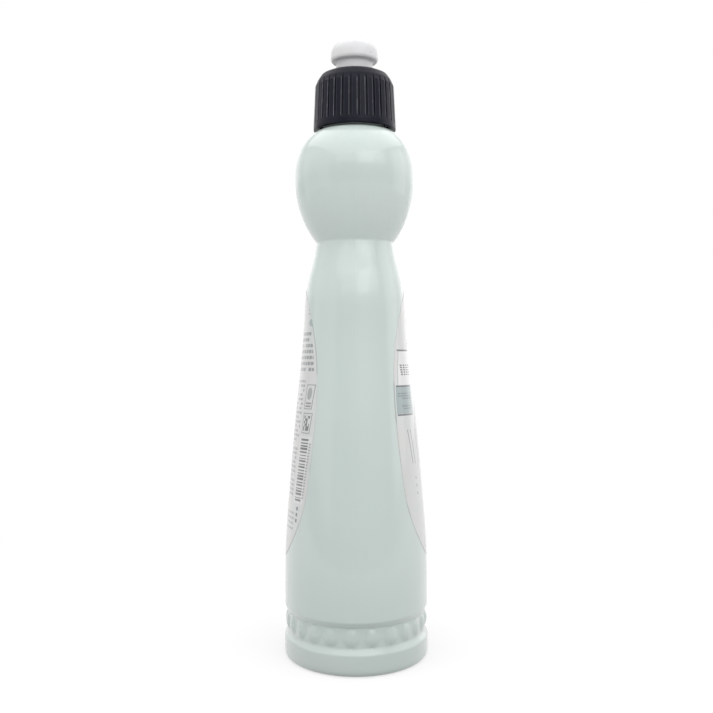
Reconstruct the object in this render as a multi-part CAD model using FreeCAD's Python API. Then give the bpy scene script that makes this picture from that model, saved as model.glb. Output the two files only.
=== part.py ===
import FreeCAD, Part
import math
import os

from FreeCAD import Matrix, Vector

# Squeeze bottle with a screw cap and a push-pull nozzle. Millimetres, +Z up.
# The origin is at the centre of the foot, on the surface that the bottle stands on.
# The wide faces look along -Y (front) and +Y (back), so X is the wide way of the oval.

# ---------------------------------------------------------------- driving dimensions
BASE_OVAL = 1.30            # width over depth of the foot and the lower body
WALL = 0.9                  # wall of the blown bottle

FOOT_HALF_DEPTH = 27.7
FOOT_CORNER = 3.0           # rounding of the foot's lower edge
FOOT_TOP = 8.4              # where the foot rounds over into the bead band
FOOT_ROLL = (27.25, 9.85)   # radius and height half way over that rounding
BAND_HALF_DEPTH = 26.3      # floor of the bead band
BAND_BOTTOM = 10.6
BAND_TOP = 18.6
BRIM_ROLL = (27.05, 19.05)  # radius and height half way round the body's lower edge
BRIM_TOP = 20.1             # where that rounding ends
BODY_BOTTOM = 21.0
BODY_HALF_DEPTH = 27.5
PUSH_UP = 3.4               # height of the hollow under the foot
PUSH_UP_MIDDLE = (12.5, 2.5)    # radius and height half way along the hollow's curve
PUSH_UP_EDGE = (22.6, 0.35)     # radius and height where that curve ends
LAND_INSIDE = 23.0
LAND_TRIM = 0.05            # how much is trimmed off the foot to make its land flat

WAIST_Z = 158.4
WAIST_RADIUS = 15.0
OVAL_ENDS_Z = 36.0          # the oval starts to turn round above this height
# Height and half depth of the body, from the straight lower stretch up to the waist.
BODY_STATIONS = [
    (BODY_BOTTOM, BODY_HALF_DEPTH),
    (OVAL_ENDS_Z, 27.4),
    (60.0, 25.9),
    (94.0, 22.9),
    (128.0, 19.75),
    (145.0, 17.6),
    (153.5, 15.6),
    (WAIST_Z, WAIST_RADIUS),
]
# Radius and height of the globe, from the waist up to the edge of its shoulder.
GLOBE_CURVE = [
    (18.7, 164.2),
    (21.6, 171.2),
    (23.2, 178.2),
    (23.5, 183.5),
    (22.9, 190.0),
    (21.0, 195.0),
    (18.3, 198.6),
    (15.8, 200.8),
]
SHOULDER_ROLL = (14.1, 201.5)       # half way over the shoulder's edge, outside the wall
SHOULDER_ROLL_INSIDE = (13.1, 200.3)

BEAD_COUNT = 25
BEAD_START = 0.25           # first bead's distance past the +X end, as a share of the spacing
BEAD_SPHERE = 5.6           # radius of the sphere that each bead is a cap of
BEAD_RISE = 1.0             # how far a bead stands out of the band

NECK_RADIUS = 12.0
NECK_BORE = 10.6
NECK_BASE = 201.7
NECK_TOP = 218.0
NECK_LIP_BEVEL = 0.4
TRANSFER_BEAD_RADIUS = 13.0
TRANSFER_BEAD_HEIGHTS = (203.6, 204.3, 205.1, 205.5)    # of its four corners

THREAD_PITCH = 4.2
THREAD_TURNS = 1.5
NECK_THREAD_START = 208.2
NECK_THREAD_CREST = 13.1
NECK_THREAD_WIDTHS = (2.3, 0.9)     # at the root and at the crest
CAP_THREAD_WIDTHS = (1.9, 0.8)
THREAD_SINK = 0.25          # how far a thread's root is sunk in what carries it
THREAD_DROP = 1.5           # how far the cap's thread lies below the neck's thread

CAP_BOTTOM = 202.3
CAP_RIM_RADIUS = 16.0
CAP_RIM_TOP = 204.0
CAP_RIM_BEVEL = 0.4
CAP_SKIRT_LOW = 15.95
CAP_SKIRT_HIGH = 15.25
RIB_TOP = 219.2             # the ribs end here in short bevels under the dome
DOME_FOOT_RADIUS = 14.85
DOME_FOOT_Z = 220.1
DOME_MIDDLE = (13.35, 222.7)    # radius and height half way up the dome
CAP_PLATEAU_RADIUS = 10.6
CAP_PLATEAU_Z = 224.6
CAP_BORE = 13.4
CAP_LEAD_IN = 0.8           # bevel at the mouth of the bore
CAP_THREAD_CREST = 12.35
CAP_CEILING = 219.0
CAP_TOP_WALL = 1.4          # thickness of the plateau round the chimney
PLUG_OUTSIDE = 10.5         # ring that slides into the neck's bore
PLUG_INSIDE = 9.6
PLUG_BOTTOM = 215.4
PLUG_BEVEL = (0.3, 0.9)     # width and height of the bevels at its lower edge
PLUG_BRACE = 2.0            # bevel inside, where the ring meets the plateau
GRIP_GROOVES = 32
GROOVE_START = 0.5          # first groove's turn past +X, as a share of the spacing
GROOVE_WIDTH = 0.95
GROOVE_FLOOR = 0.45
GROOVE_DEPTH = 0.6
GROOVE_BOTTOM = 204.7
GROOVE_TOP = 222.4

CHIMNEY_RADIUS = 5.6
CHIMNEY_BORE = 4.4
CHIMNEY_TOP = 234.2
CHIMNEY_TIP_RADIUS = 5.3
CHIMNEY_BEAD_RADIUS = 5.85  # the ring that stops the nozzle
CHIMNEY_BEAD_HEIGHTS = (232.4, 232.7, 233.1, 233.3)     # of its four corners
PIN_RADIUS = 1.55
PIN_TOP = 237.4
PIN_BEVEL = (0.35, 0.5)     # width and height
SPOKES = 3
SPOKE_WIDTH = 1.0
SPOKE_BOTTOM = 232.8
SPOKE_TOP = 234.0
SPOKE_REACH = 4.7           # from the axis into the chimney's wall

NOZZLE_NECK_RADIUS = 7.2
NOZZLE_NECK_TAPER = 0.1
NOZZLE_BOTTOM = CAP_PLATEAU_Z + 0.2
NOZZLE_RIM_RADIUS = 9.2
NOZZLE_RIM_BOTTOM = 228.9
NOZZLE_RIM_CORNER = 0.5
# Radius and height up the nozzle's outside, from its widest place to where the top begins.
NOZZLE_DOME = [
    (NOZZLE_RIM_RADIUS, 230.7),
    (8.85, 233.3),
    (7.65, 235.3),
]
NOZZLE_TOP_MIDDLE = (4.9, 236.85)
NOZZLE_TOP = 237.7
NOZZLE_BORE = 6.0
NOZZLE_LIP = 5.7            # inner ring that grips the chimney
NOZZLE_LIP_HEIGHTS = (0.6, 1.7, 2.2)    # its two edges and where the bore begins, above the bottom
NOZZLE_ROOF = 235.0
OUTLET_RADIUS = 1.65
OUTLET_BEVEL = (0.3, 0.23)  # width and height
GATE_MARK_RADIUS = 0.5
GATE_MARK_DEPTH = 0.25
GATE_MARK_ANGLE = 221.0     # degrees round from +X
GATE_MARK_Z = 230.6

LINER_INSIDE = 10.75
LINER_OUTSIDE = 13.2
LINER_GAP = 0.05            # between the liner and what it seals against

LABEL_THICKNESS = 0.12
LABEL_HALF_WIDTH = 22.4
LABEL_WIDEST_Z = 63.0
LABEL_UPPER_HEIGHT = 77.0   # from the widest place to the top end
LABEL_LOWER_HEIGHT = 25.5   # from the widest place to the bottom end


# ---------------------------------------------------------------- drawing helpers
class Outline:
    """A half-section beside the Z axis, drawn edge by edge and then spun."""

    def __init__(self, radius, height):
        self.here = Vector(radius, 0, height)
        self.start = self.here
        self.edges = []

    def line_to(self, radius, height):
        end = Vector(radius, 0, height)
        self.edges.append(Part.LineSegment(self.here, end).toShape())
        self.here = end
        return self

    def arc_to(self, middle, end):
        middle_point = Vector(middle[0], 0, middle[1])
        end_point = Vector(end[0], 0, end[1])
        self.edges.append(Part.Arc(self.here, middle_point, end_point).toShape())
        self.here = end_point
        return self

    def step_out(self, root, crest, heights):
        """A raised ring: from the root out to the crest and back, with its corners at heights."""
        self.line_to(root, heights[0])
        self.line_to(crest, heights[1])
        self.line_to(crest, heights[2])
        return self.line_to(root, heights[3])

    def curve_to(self, points):
        path = [self.here] + [Vector(radius, 0, height) for radius, height in points]
        curve = Part.BSplineCurve()
        curve.interpolate(path)
        self.edges.append(curve.toShape())
        self.here = path[-1]
        return self

    def face(self):
        if self.here.distanceToPoint(self.start) > 1e-6:
            self.line_to(self.start.x, self.start.z)
        return Part.Face(Part.Wire(self.edges))

    def spin(self):
        return self.face().revolve(Vector(0, 0, 0), Vector(0, 0, 1), 360)


def ring(inside, outside, bottom, top):
    """A plain ring about the Z axis."""
    outline = Outline(inside, bottom)
    outline.line_to(outside, bottom).line_to(outside, top).line_to(inside, top)
    return outline.spin()


def stretched(shape):
    """The round shape made oval: X grows by BASE_OVAL."""
    stretch = Matrix()
    stretch.A11 = BASE_OVAL
    return shape.transformGeometry(stretch)


def oval_ratio(height):
    """Width over depth of the body: BASE_OVAL low down, round at the waist."""
    climb = (WAIST_Z - height) / (WAIST_Z - OVAL_ENDS_Z)
    return 1.0 + (BASE_OVAL - 1.0) * min(max(climb, 0.0), 1.0)


def body_loft(inset, straight=False):
    """The body between the bead band and the waist, made smaller all round by inset.

    The wall's inside, which nothing seats on, runs straight from station to station.
    """
    sections = []
    for height, half_depth in BODY_STATIONS:
        depth = half_depth - inset
        ellipse = Part.Ellipse(Vector(0, 0, height), oval_ratio(height) * depth, depth)
        sections.append(Part.Wire([ellipse.toShape()]))
    closed = False
    highest_degree = 3
    return Part.makeLoft(sections, True, straight, closed, highest_degree)


def thread(root, crest, start_z, widths):
    """A helical ridge from the root radius to the crest radius, right-handed."""
    root_width, crest_width = widths
    sink = math.copysign(THREAD_SINK, crest - root)
    path = Part.makeHelix(THREAD_PITCH, THREAD_PITCH * THREAD_TURNS, root)
    path.translate(Vector(0, 0, start_z))
    corners = [
        Vector(root - sink, 0, start_z - root_width / 2),
        Vector(crest, 0, start_z - crest_width / 2),
        Vector(crest, 0, start_z + crest_width / 2),
        Vector(root - sink, 0, start_z + root_width / 2),
    ]
    section = Part.makePolygon(corners + corners[:1])
    return path.makePipeShell([section], True, True)


# ---------------------------------------------------------------- bottle
def foot_outside():
    """The foot, the bead band and the first straight of the body.

    It is drawn a little too low and then trimmed, which leaves a flat land to stand on.
    """
    low = -LAND_TRIM
    slope = (1 - math.sqrt(0.5)) * FOOT_CORNER
    outline = Outline(0, PUSH_UP)
    outline.arc_to(PUSH_UP_MIDDLE, PUSH_UP_EDGE)
    outline.line_to(LAND_INSIDE, low)
    outline.line_to(FOOT_HALF_DEPTH - FOOT_CORNER, low)
    outline.arc_to((FOOT_HALF_DEPTH - slope, low + slope), (FOOT_HALF_DEPTH, low + FOOT_CORNER))
    outline.line_to(FOOT_HALF_DEPTH, FOOT_TOP)
    outline.arc_to(FOOT_ROLL, (BAND_HALF_DEPTH, BAND_BOTTOM))
    outline.line_to(BAND_HALF_DEPTH, BAND_TOP)
    outline.arc_to(BRIM_ROLL, (BODY_HALF_DEPTH, BRIM_TOP))
    outline.line_to(BODY_HALF_DEPTH, BODY_BOTTOM)
    outline.line_to(0, BODY_BOTTOM)
    size = 4 * FOOT_HALF_DEPTH
    below = Part.makeBox(size, size, 1, Vector(-size / 2, -size / 2, -1))
    return stretched(outline.spin()).cut(below)


def foot_inside():
    """The cavity over the push-up, up to where the body starts."""
    middle_radius, middle_height = PUSH_UP_MIDDLE
    edge_radius, edge_height = PUSH_UP_EDGE
    outline = Outline(0, PUSH_UP + WALL)
    outline.line_to(middle_radius, middle_height + WALL)
    outline.line_to(edge_radius, edge_height + WALL)
    outline.line_to(FOOT_HALF_DEPTH - FOOT_CORNER - WALL / 2, edge_height + WALL)
    outline.line_to(FOOT_HALF_DEPTH - WALL, FOOT_CORNER + edge_height + WALL)
    outline.line_to(FOOT_HALF_DEPTH - WALL, FOOT_TOP - WALL / 2)
    outline.line_to(BAND_HALF_DEPTH - WALL, BAND_BOTTOM)
    outline.line_to(BAND_HALF_DEPTH - WALL, BAND_TOP + WALL / 2)
    outline.line_to(BODY_HALF_DEPTH - WALL, BODY_BOTTOM)
    outline.line_to(0, BODY_BOTTOM)
    return stretched(outline.spin())


def globe_outside():
    """The globe and the neck, without its thread."""
    outline = Outline(0, WAIST_Z)
    outline.line_to(WAIST_RADIUS, WAIST_Z)
    outline.curve_to(GLOBE_CURVE)
    outline.arc_to(SHOULDER_ROLL, (NECK_RADIUS, NECK_BASE))
    outline.step_out(NECK_RADIUS, TRANSFER_BEAD_RADIUS, TRANSFER_BEAD_HEIGHTS)
    outline.line_to(NECK_RADIUS, NECK_TOP - NECK_LIP_BEVEL)
    outline.line_to(NECK_RADIUS - NECK_LIP_BEVEL, NECK_TOP)
    outline.line_to(0, NECK_TOP)
    return outline.spin()


def globe_inside():
    """The cavity of the globe and the bore of the neck."""
    inner_curve = [(radius - WALL, height) for radius, height in GLOBE_CURVE[:-1]]
    outline = Outline(0, WAIST_Z)
    outline.line_to(WAIST_RADIUS - WALL, WAIST_Z)
    outline.curve_to(inner_curve)
    outline.arc_to(SHOULDER_ROLL_INSIDE, (NECK_BORE, NECK_BASE + WALL / 2))
    outline.line_to(NECK_BORE, NECK_TOP)
    outline.line_to(0, NECK_TOP)
    return outline.spin()


def even_points_on_oval(half_width, half_depth, count, start):
    """Points evenly spaced round an oval, each with its outward direction.

    The first lies past the +X end by the start, a share of the spacing.
    """
    steps = 7200
    angles = [2 * math.pi * step / steps for step in range(steps + 1)]
    travelled = [0.0]
    for before, after in zip(angles, angles[1:]):
        dx = half_width * (math.cos(after) - math.cos(before))
        dy = half_depth * (math.sin(after) - math.sin(before))
        travelled.append(travelled[-1] + math.hypot(dx, dy))
    places = []
    step = 0
    for index in range(count):
        target = travelled[-1] * (index + start) / count
        while travelled[step] < target:
            step += 1
        angle = angles[step]
        point = Vector(half_width * math.cos(angle), half_depth * math.sin(angle), 0)
        outward = Vector(math.cos(angle) / half_width, math.sin(angle) / half_depth, 0)
        places.append((point, outward.normalize()))
    return places


def beads():
    """The row of low domes round the band, each the outermost cap of a sphere."""
    middle_z = (BAND_BOTTOM + BAND_TOP) / 2
    inside = BAND_HALF_DEPTH - WALL / 2
    belt = stretched(ring(inside, BAND_HALF_DEPTH + 2 * BEAD_RISE, BAND_BOTTOM, BAND_TOP))
    domes = []
    half_width = BASE_OVAL * BAND_HALF_DEPTH
    for point, outward in even_points_on_oval(half_width, BAND_HALF_DEPTH, BEAD_COUNT, BEAD_START):
        centre = point - outward * (BEAD_SPHERE - BEAD_RISE) + Vector(0, 0, middle_z)
        sphere = Part.makeSphere(BEAD_SPHERE)
        seam_inwards = math.degrees(math.atan2(-outward.y, -outward.x))
        sphere.rotate(Vector(0, 0, 0), Vector(0, 0, 1), seam_inwards)
        sphere.translate(centre)
        domes.append(sphere.common(belt))
    return domes


def bottle():
    neck_thread = thread(
        NECK_RADIUS, NECK_THREAD_CREST, NECK_THREAD_START, NECK_THREAD_WIDTHS
    )
    skin = foot_outside().fuse(beads() + [body_loft(0), globe_outside(), neck_thread])
    cavity = [foot_inside(), body_loft(WALL, straight=True), globe_inside()]
    return skin.cut(cavity).removeSplitter()


# ---------------------------------------------------------------- cap
def cap_shell():
    """Skirt, domed shoulder, plug ring and chimney, spun in one outline."""
    plateau_under = CAP_PLATEAU_Z - CAP_TOP_WALL
    bevel_width, bevel_height = PLUG_BEVEL
    outline = Outline(CAP_BORE + CAP_LEAD_IN, CAP_BOTTOM)
    outline.line_to(CAP_RIM_RADIUS, CAP_BOTTOM)
    outline.line_to(CAP_RIM_RADIUS, CAP_RIM_TOP)
    outline.line_to(CAP_SKIRT_LOW, CAP_RIM_TOP + CAP_RIM_BEVEL)
    outline.line_to(CAP_SKIRT_HIGH, RIB_TOP)
    outline.line_to(DOME_FOOT_RADIUS, DOME_FOOT_Z)
    outline.arc_to(DOME_MIDDLE, (CAP_PLATEAU_RADIUS, CAP_PLATEAU_Z))
    outline.line_to(CHIMNEY_RADIUS, CAP_PLATEAU_Z)
    outline.step_out(CHIMNEY_RADIUS, CHIMNEY_BEAD_RADIUS, CHIMNEY_BEAD_HEIGHTS)
    outline.line_to(CHIMNEY_TIP_RADIUS, CHIMNEY_TOP)
    outline.line_to(CHIMNEY_BORE, CHIMNEY_TOP)
    outline.line_to(CHIMNEY_BORE, plateau_under)
    outline.line_to(PLUG_INSIDE - PLUG_BRACE, plateau_under)
    outline.line_to(PLUG_INSIDE, plateau_under - PLUG_BRACE)
    outline.line_to(PLUG_INSIDE, PLUG_BOTTOM + bevel_height)
    outline.line_to(PLUG_INSIDE + bevel_width, PLUG_BOTTOM)
    outline.line_to(PLUG_OUTSIDE - bevel_width, PLUG_BOTTOM)
    outline.line_to(PLUG_OUTSIDE, PLUG_BOTTOM + bevel_height)
    outline.line_to(PLUG_OUTSIDE, CAP_CEILING)
    outline.line_to(CAP_BORE, CAP_CEILING)
    outline.line_to(CAP_BORE, CAP_BOTTOM + CAP_LEAD_IN)
    return outline.spin()


def grip_groove():
    """One tapered groove that follows the skirt's lean and runs out on the dome."""
    lean = (CAP_SKIRT_LOW - CAP_SKIRT_HIGH) / (RIB_TOP - CAP_RIM_TOP)
    floor = CAP_SKIRT_LOW - GROOVE_DEPTH
    outside = CAP_RIM_RADIUS + 1.0
    spread = GROOVE_FLOOR + (GROOVE_WIDTH - GROOVE_FLOOR) * (outside - floor) / GROOVE_DEPTH
    corners = [
        Vector(floor, -GROOVE_FLOOR / 2, GROOVE_BOTTOM),
        Vector(outside, -spread / 2, GROOVE_BOTTOM),
        Vector(outside, spread / 2, GROOVE_BOTTOM),
        Vector(floor, GROOVE_FLOOR / 2, GROOVE_BOTTOM),
    ]
    height = GROOVE_TOP - GROOVE_BOTTOM
    section = Part.Face(Part.makePolygon(corners + corners[:1]))
    return section.extrude(Vector(-lean * height, 0, height))


def around(shape, count, start=0.0):
    """Copies of the shape evenly spaced about the Z axis, the first turned by a share of the spacing."""
    copies = []
    for index in range(count):
        copy = shape.copy()
        copy.rotate(Vector(0, 0, 0), Vector(0, 0, 1), 360.0 * (index + start) / count)
        copies.append(copy)
    return copies


def spout_pin():
    """The pin that closes the outlet, with the spokes that carry it in the chimney."""
    bevel_width, bevel_height = PIN_BEVEL
    tip_bottom = PIN_TOP - bevel_height
    pin = Part.makeCylinder(PIN_RADIUS, tip_bottom - SPOKE_BOTTOM, Vector(0, 0, SPOKE_BOTTOM))
    tip = Part.makeCone(PIN_RADIUS, PIN_RADIUS - bevel_width, bevel_height, Vector(0, 0, tip_bottom))
    corner = Vector(0, -SPOKE_WIDTH / 2, SPOKE_BOTTOM)
    spoke = Part.makeBox(SPOKE_REACH, SPOKE_WIDTH, SPOKE_TOP - SPOKE_BOTTOM, corner)
    return pin.fuse([tip] + around(spoke, SPOKES))


def screw_cap():
    cap_thread = thread(
        CAP_BORE, CAP_THREAD_CREST, NECK_THREAD_START - THREAD_DROP, CAP_THREAD_WIDTHS
    )
    shell = cap_shell().fuse([cap_thread, spout_pin()])
    return shell.cut(around(grip_groove(), GRIP_GROOVES, GROOVE_START)).removeSplitter()


# ---------------------------------------------------------------- nozzle, liner, labels
def pull_nozzle():
    """The mushroom-shaped nozzle: neck, rim, low dome and outlet."""
    lip_bottom, lip_top, bore_bottom = (NOZZLE_BOTTOM + height for height in NOZZLE_LIP_HEIGHTS)
    bevel_width, bevel_height = OUTLET_BEVEL
    corner = NOZZLE_RIM_CORNER
    outline = Outline(NOZZLE_BORE, NOZZLE_BOTTOM)
    outline.line_to(NOZZLE_NECK_RADIUS, NOZZLE_BOTTOM)
    outline.line_to(NOZZLE_NECK_RADIUS - NOZZLE_NECK_TAPER, NOZZLE_RIM_BOTTOM - corner)
    outline.line_to(NOZZLE_NECK_RADIUS + corner, NOZZLE_RIM_BOTTOM)
    outline.line_to(NOZZLE_RIM_RADIUS - corner, NOZZLE_RIM_BOTTOM)
    outline.curve_to(NOZZLE_DOME)
    outline.arc_to(NOZZLE_TOP_MIDDLE, (OUTLET_RADIUS + bevel_width, NOZZLE_TOP))
    outline.line_to(OUTLET_RADIUS, NOZZLE_TOP - bevel_height)
    outline.line_to(OUTLET_RADIUS, NOZZLE_ROOF)
    outline.line_to(NOZZLE_BORE, NOZZLE_ROOF)
    outline.line_to(NOZZLE_BORE, bore_bottom)
    outline.line_to(NOZZLE_LIP, lip_top)
    outline.line_to(NOZZLE_LIP, lip_bottom)
    shell = outline.spin()
    angle = math.radians(GATE_MARK_ANGLE)
    reach = NOZZLE_RIM_RADIUS + GATE_MARK_RADIUS - GATE_MARK_DEPTH
    centre = Vector(reach * math.cos(angle), reach * math.sin(angle), GATE_MARK_Z)
    return shell.cut(Part.makeSphere(GATE_MARK_RADIUS, centre))


def cap_liner():
    bottom = NECK_TOP + LINER_GAP
    top = CAP_CEILING - LINER_GAP
    return ring(LINER_INSIDE, LINER_OUTSIDE, bottom, top)


def half_ellipse(height):
    """Half of the label's outline, above the widest place if height is positive."""
    centre = Vector(0, 0, LABEL_WIDEST_Z)
    right = Vector(LABEL_HALF_WIDTH, 0, LABEL_WIDEST_Z)
    end = Vector(0, 0, LABEL_WIDEST_Z + height)
    if abs(height) > LABEL_HALF_WIDTH:
        ellipse = Part.Ellipse(end, right, centre)
        return ellipse.toShape(-math.pi / 2, math.pi / 2)
    ellipse = Part.Ellipse(right, end, centre)
    return ellipse.toShape(0, math.pi)


def label(side):
    """A thin film on the body: side -1 is the front, +1 is the back."""
    outline = Part.Wire(Part.__sortEdges__([
        half_ellipse(LABEL_UPPER_HEIGHT),
        half_ellipse(-LABEL_LOWER_HEIGHT),
    ]))
    reach = 2 * BODY_HALF_DEPTH
    prism = Part.Face(outline).extrude(Vector(0, side * reach, 0))
    film = body_loft(-LABEL_THICKNESS).cut(body_loft(0))
    return film.common(prism)


# ---------------------------------------------------------------- write the parts
PARTS = {
    "bottle": bottle,
    "screw_cap": screw_cap,
    "cap_liner": cap_liner,
    "pull_nozzle": pull_nozzle,
    "front_label": lambda: label(-1),
    "back_label": lambda: label(+1),
}

os.makedirs("parts", exist_ok=True)
for name, make in PARTS.items():
    shape = make()
    solid = shape.Solids[0] if len(shape.Solids) == 1 else shape
    box = solid.BoundBox
    print(
        f"{name:12s} solids {len(shape.Solids)} valid {solid.isValid()} "
        f"volume {solid.Volume / 1000:8.3f} cm3 "
        f"x {box.XMin:.2f}..{box.XMax:.2f} y {box.YMin:.2f}..{box.YMax:.2f} "
        f"z {box.ZMin:.2f}..{box.ZMax:.2f}"
    )
    solid.exportStep(f"parts/{name}.step")
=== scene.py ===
"""Looks of the squeeze bottle: blown skin, film labels, ribbed cap, push-pull nozzle and the studio."""

import logging
import math
from dataclasses import dataclass, field
from enum import Enum
from typing import Any, ClassVar, Mapping, Sequence

import bpy
import numpy as np
from mathutils import Euler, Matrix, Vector


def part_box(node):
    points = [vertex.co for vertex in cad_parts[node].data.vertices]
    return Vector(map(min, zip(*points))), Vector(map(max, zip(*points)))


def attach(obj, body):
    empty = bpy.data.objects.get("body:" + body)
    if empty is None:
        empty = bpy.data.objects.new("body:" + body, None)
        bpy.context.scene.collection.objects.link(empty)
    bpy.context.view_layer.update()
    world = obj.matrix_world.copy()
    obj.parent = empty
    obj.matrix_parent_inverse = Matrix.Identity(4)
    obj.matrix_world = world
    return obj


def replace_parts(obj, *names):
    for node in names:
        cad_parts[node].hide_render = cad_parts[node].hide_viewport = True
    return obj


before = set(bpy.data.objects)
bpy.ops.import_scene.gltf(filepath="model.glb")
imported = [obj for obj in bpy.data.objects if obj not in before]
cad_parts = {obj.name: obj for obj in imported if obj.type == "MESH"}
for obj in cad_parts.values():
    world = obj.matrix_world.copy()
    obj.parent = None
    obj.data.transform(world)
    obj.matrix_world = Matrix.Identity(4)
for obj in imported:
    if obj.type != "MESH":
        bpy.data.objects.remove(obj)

LOG = logging.getLogger("squeeze_bottle")
MM = 0.001                      # metres in a millimetre
ROUNDING_STEPS = 5              # short runs in each rounded corner
SHARP_ANGLE = math.radians(50)  # edges bent more than this stay crisp
FULL_TURN = 2 * math.pi
SAME = 0.01                     # measures this close count as one, in millimetres

Corner = tuple[float, float, float]      # radius, height, rounding, in millimetres
Knot = tuple[float, float]               # radius, height, in millimetres
Colour = tuple[float, float, float]


class Body(Enum):
    """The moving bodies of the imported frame."""

    BOTTLE = "bottle"
    LINER = "liner"
    CAP = "cap"
    NOZZLE = "nozzle"


class Side(Enum):
    """Which wide face of the body a label is on."""

    FRONT = -1
    BACK = 1

    @property
    def node(self) -> str:
        """The CAD node of the label on this side."""
        return f"{self.name.lower()}_label"

    @property
    def film(self) -> str:
        """The name of the film piece on this side and of its material."""
        return f"{self.name.lower()}_film"


# ------------------------------------------------------------------ lines and rings
def cut_short(line: np.ndarray, step: float) -> np.ndarray:
    """Cuts the long runs of a line into shorter ones.

    Args:
        line: points, one (radius, height) row each.
        step: longest run that is left whole, in millimetres.

    Returns:
        The line with points added on its long runs.
    """
    out = [line[0]]
    for before, after in zip(line, line[1:]):
        runs = max(1, math.ceil(np.linalg.norm(after - before) / step - 1e-6))
        out.extend(before + (after - before) * (i + 1) / runs for i in range(runs))
    return np.array(out)


def corner_curve(start: np.ndarray, corner: np.ndarray, end: np.ndarray, runs: int) -> np.ndarray:
    """A short curve that rounds off a corner.

    Args:
        start: where the curve leaves the edge before the corner.
        corner: the corner itself.
        end: where the curve meets the edge after it.
        runs: how many straight runs the curve is made of.

    Returns:
        Its points, both ends included.
    """
    share = np.linspace(0, 1, runs + 1)[:, None]
    return (1 - share) ** 2 * start + 2 * share * (1 - share) * corner + share**2 * end


def rounded(corners: Sequence[Corner], step: float = 2.0) -> np.ndarray:
    """A line through corners, each rounded off by its own radius.

    Args:
        corners: radius, height and rounding of each corner, in millimetres.
        step: longest run between two points.

    Returns:
        The points of the line.
    """
    points: list[np.ndarray] = []
    for index, (radius, height, rounding) in enumerate(corners):
        here = np.array((radius, height), float)
        if rounding == 0 or index in (0, len(corners) - 1):
            points.append(here)
            continue
        back = np.array(corners[index - 1][:2], float) - here
        ahead = np.array(corners[index + 1][:2], float) - here
        back_length, ahead_length = np.linalg.norm(back), np.linalg.norm(ahead)
        cosine = float(back @ ahead) / (back_length * ahead_length)
        half_angle = math.acos(max(-1.0, min(1.0, cosine))) / 2
        reach = min(rounding / math.tan(half_angle), 0.49 * back_length, 0.49 * ahead_length)
        start = here + back / back_length * reach
        end = here + ahead / ahead_length * reach
        points.extend(corner_curve(start, here, end, ROUNDING_STEPS))
    return cut_short(np.array(points), step)


def smooth_through(knots: Sequence[Knot], step: float) -> np.ndarray:
    """A smooth line through knots: a natural cubic along their chord length.

    Args:
        knots: points that the line passes through, in millimetres.
        step: distance between the points of the result.

    Returns:
        The points of the line, the first and last knot included.
    """
    given = np.array(knots, float)
    along = np.concatenate([[0.0], np.cumsum(np.linalg.norm(np.diff(given, axis=0), axis=1))])
    gap = np.diff(along)
    size = len(given)
    system = np.eye(size)
    known = np.zeros_like(given)
    for i in range(1, size - 1):
        system[i, i - 1 : i + 2] = gap[i - 1], 2 * (gap[i - 1] + gap[i]), gap[i]
        known[i] = 6 * ((given[i + 1] - given[i]) / gap[i] - (given[i] - given[i - 1]) / gap[i - 1])
    bend = np.linalg.solve(system, known)
    places = np.linspace(0, along[-1], max(2, math.ceil(along[-1] / step)) + 1)
    run = np.clip(np.searchsorted(along, places, side="right") - 1, 0, size - 2)
    width = gap[run][:, None]
    ahead = (along[run + 1] - places)[:, None]
    behind = (places - along[run])[:, None]
    return (
        (bend[run] * ahead**3 + bend[run + 1] * behind**3) / (6 * width)
        + (given[run] / width - bend[run] * width / 6) * ahead
        + (given[run + 1] / width - bend[run + 1] * width / 6) * behind
    )


def joined(*lines: np.ndarray) -> np.ndarray:
    """Lines end to end as one, with the doubled joints taken out.

    Args:
        lines: the lines in order, each starting about where the one before ends.

    Returns:
        The points of the whole line.
    """
    whole = np.concatenate(lines)
    keep = np.ones(len(whole), bool)
    keep[1:] = np.linalg.norm(np.diff(whole, axis=0), axis=1) > 1e-6
    return whole[keep]


def soften(line: np.ndarray, corner: Knot, reach: float) -> np.ndarray:
    """Rounds off one crease of a finished line.

    Args:
        line: the points of the line.
        corner: where the crease is.
        reach: how far the rounding goes from the crease each way.

    Returns:
        The line with a short curve in place of the crease.
    """
    distance = np.linalg.norm(line - np.array(corner, float), axis=1)
    middle = int(distance.argmin())
    here = line[middle]
    low = max(i for i in range(middle) if np.linalg.norm(line[i] - here) > reach)
    high = min(i for i in range(middle, len(line)) if np.linalg.norm(line[i] - here) > reach)
    start = here + (line[low] - here) * reach / np.linalg.norm(line[low] - here)
    end = here + (line[high] - here) * reach / np.linalg.norm(line[high] - here)
    curve = corner_curve(start, here, end, ROUNDING_STEPS + 1)
    return np.concatenate([line[: low + 1], curve, line[high:]])


def ease(value: np.ndarray, low: float, high: float) -> np.ndarray:
    """A smooth climb from 0 below low to 1 above high."""
    share = np.clip((value - low) / (high - low), 0, 1)
    return share * share * (3 - 2 * share)


def round_ring(radii: np.ndarray | float, angles: np.ndarray, height: float) -> np.ndarray:
    """A level ring of points about the Z axis, from their radii (or one for all) and angles."""
    reach = np.broadcast_to(radii, angles.shape)
    return np.stack([reach * np.cos(angles), reach * np.sin(angles), np.full(len(angles), height)], 1)


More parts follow.
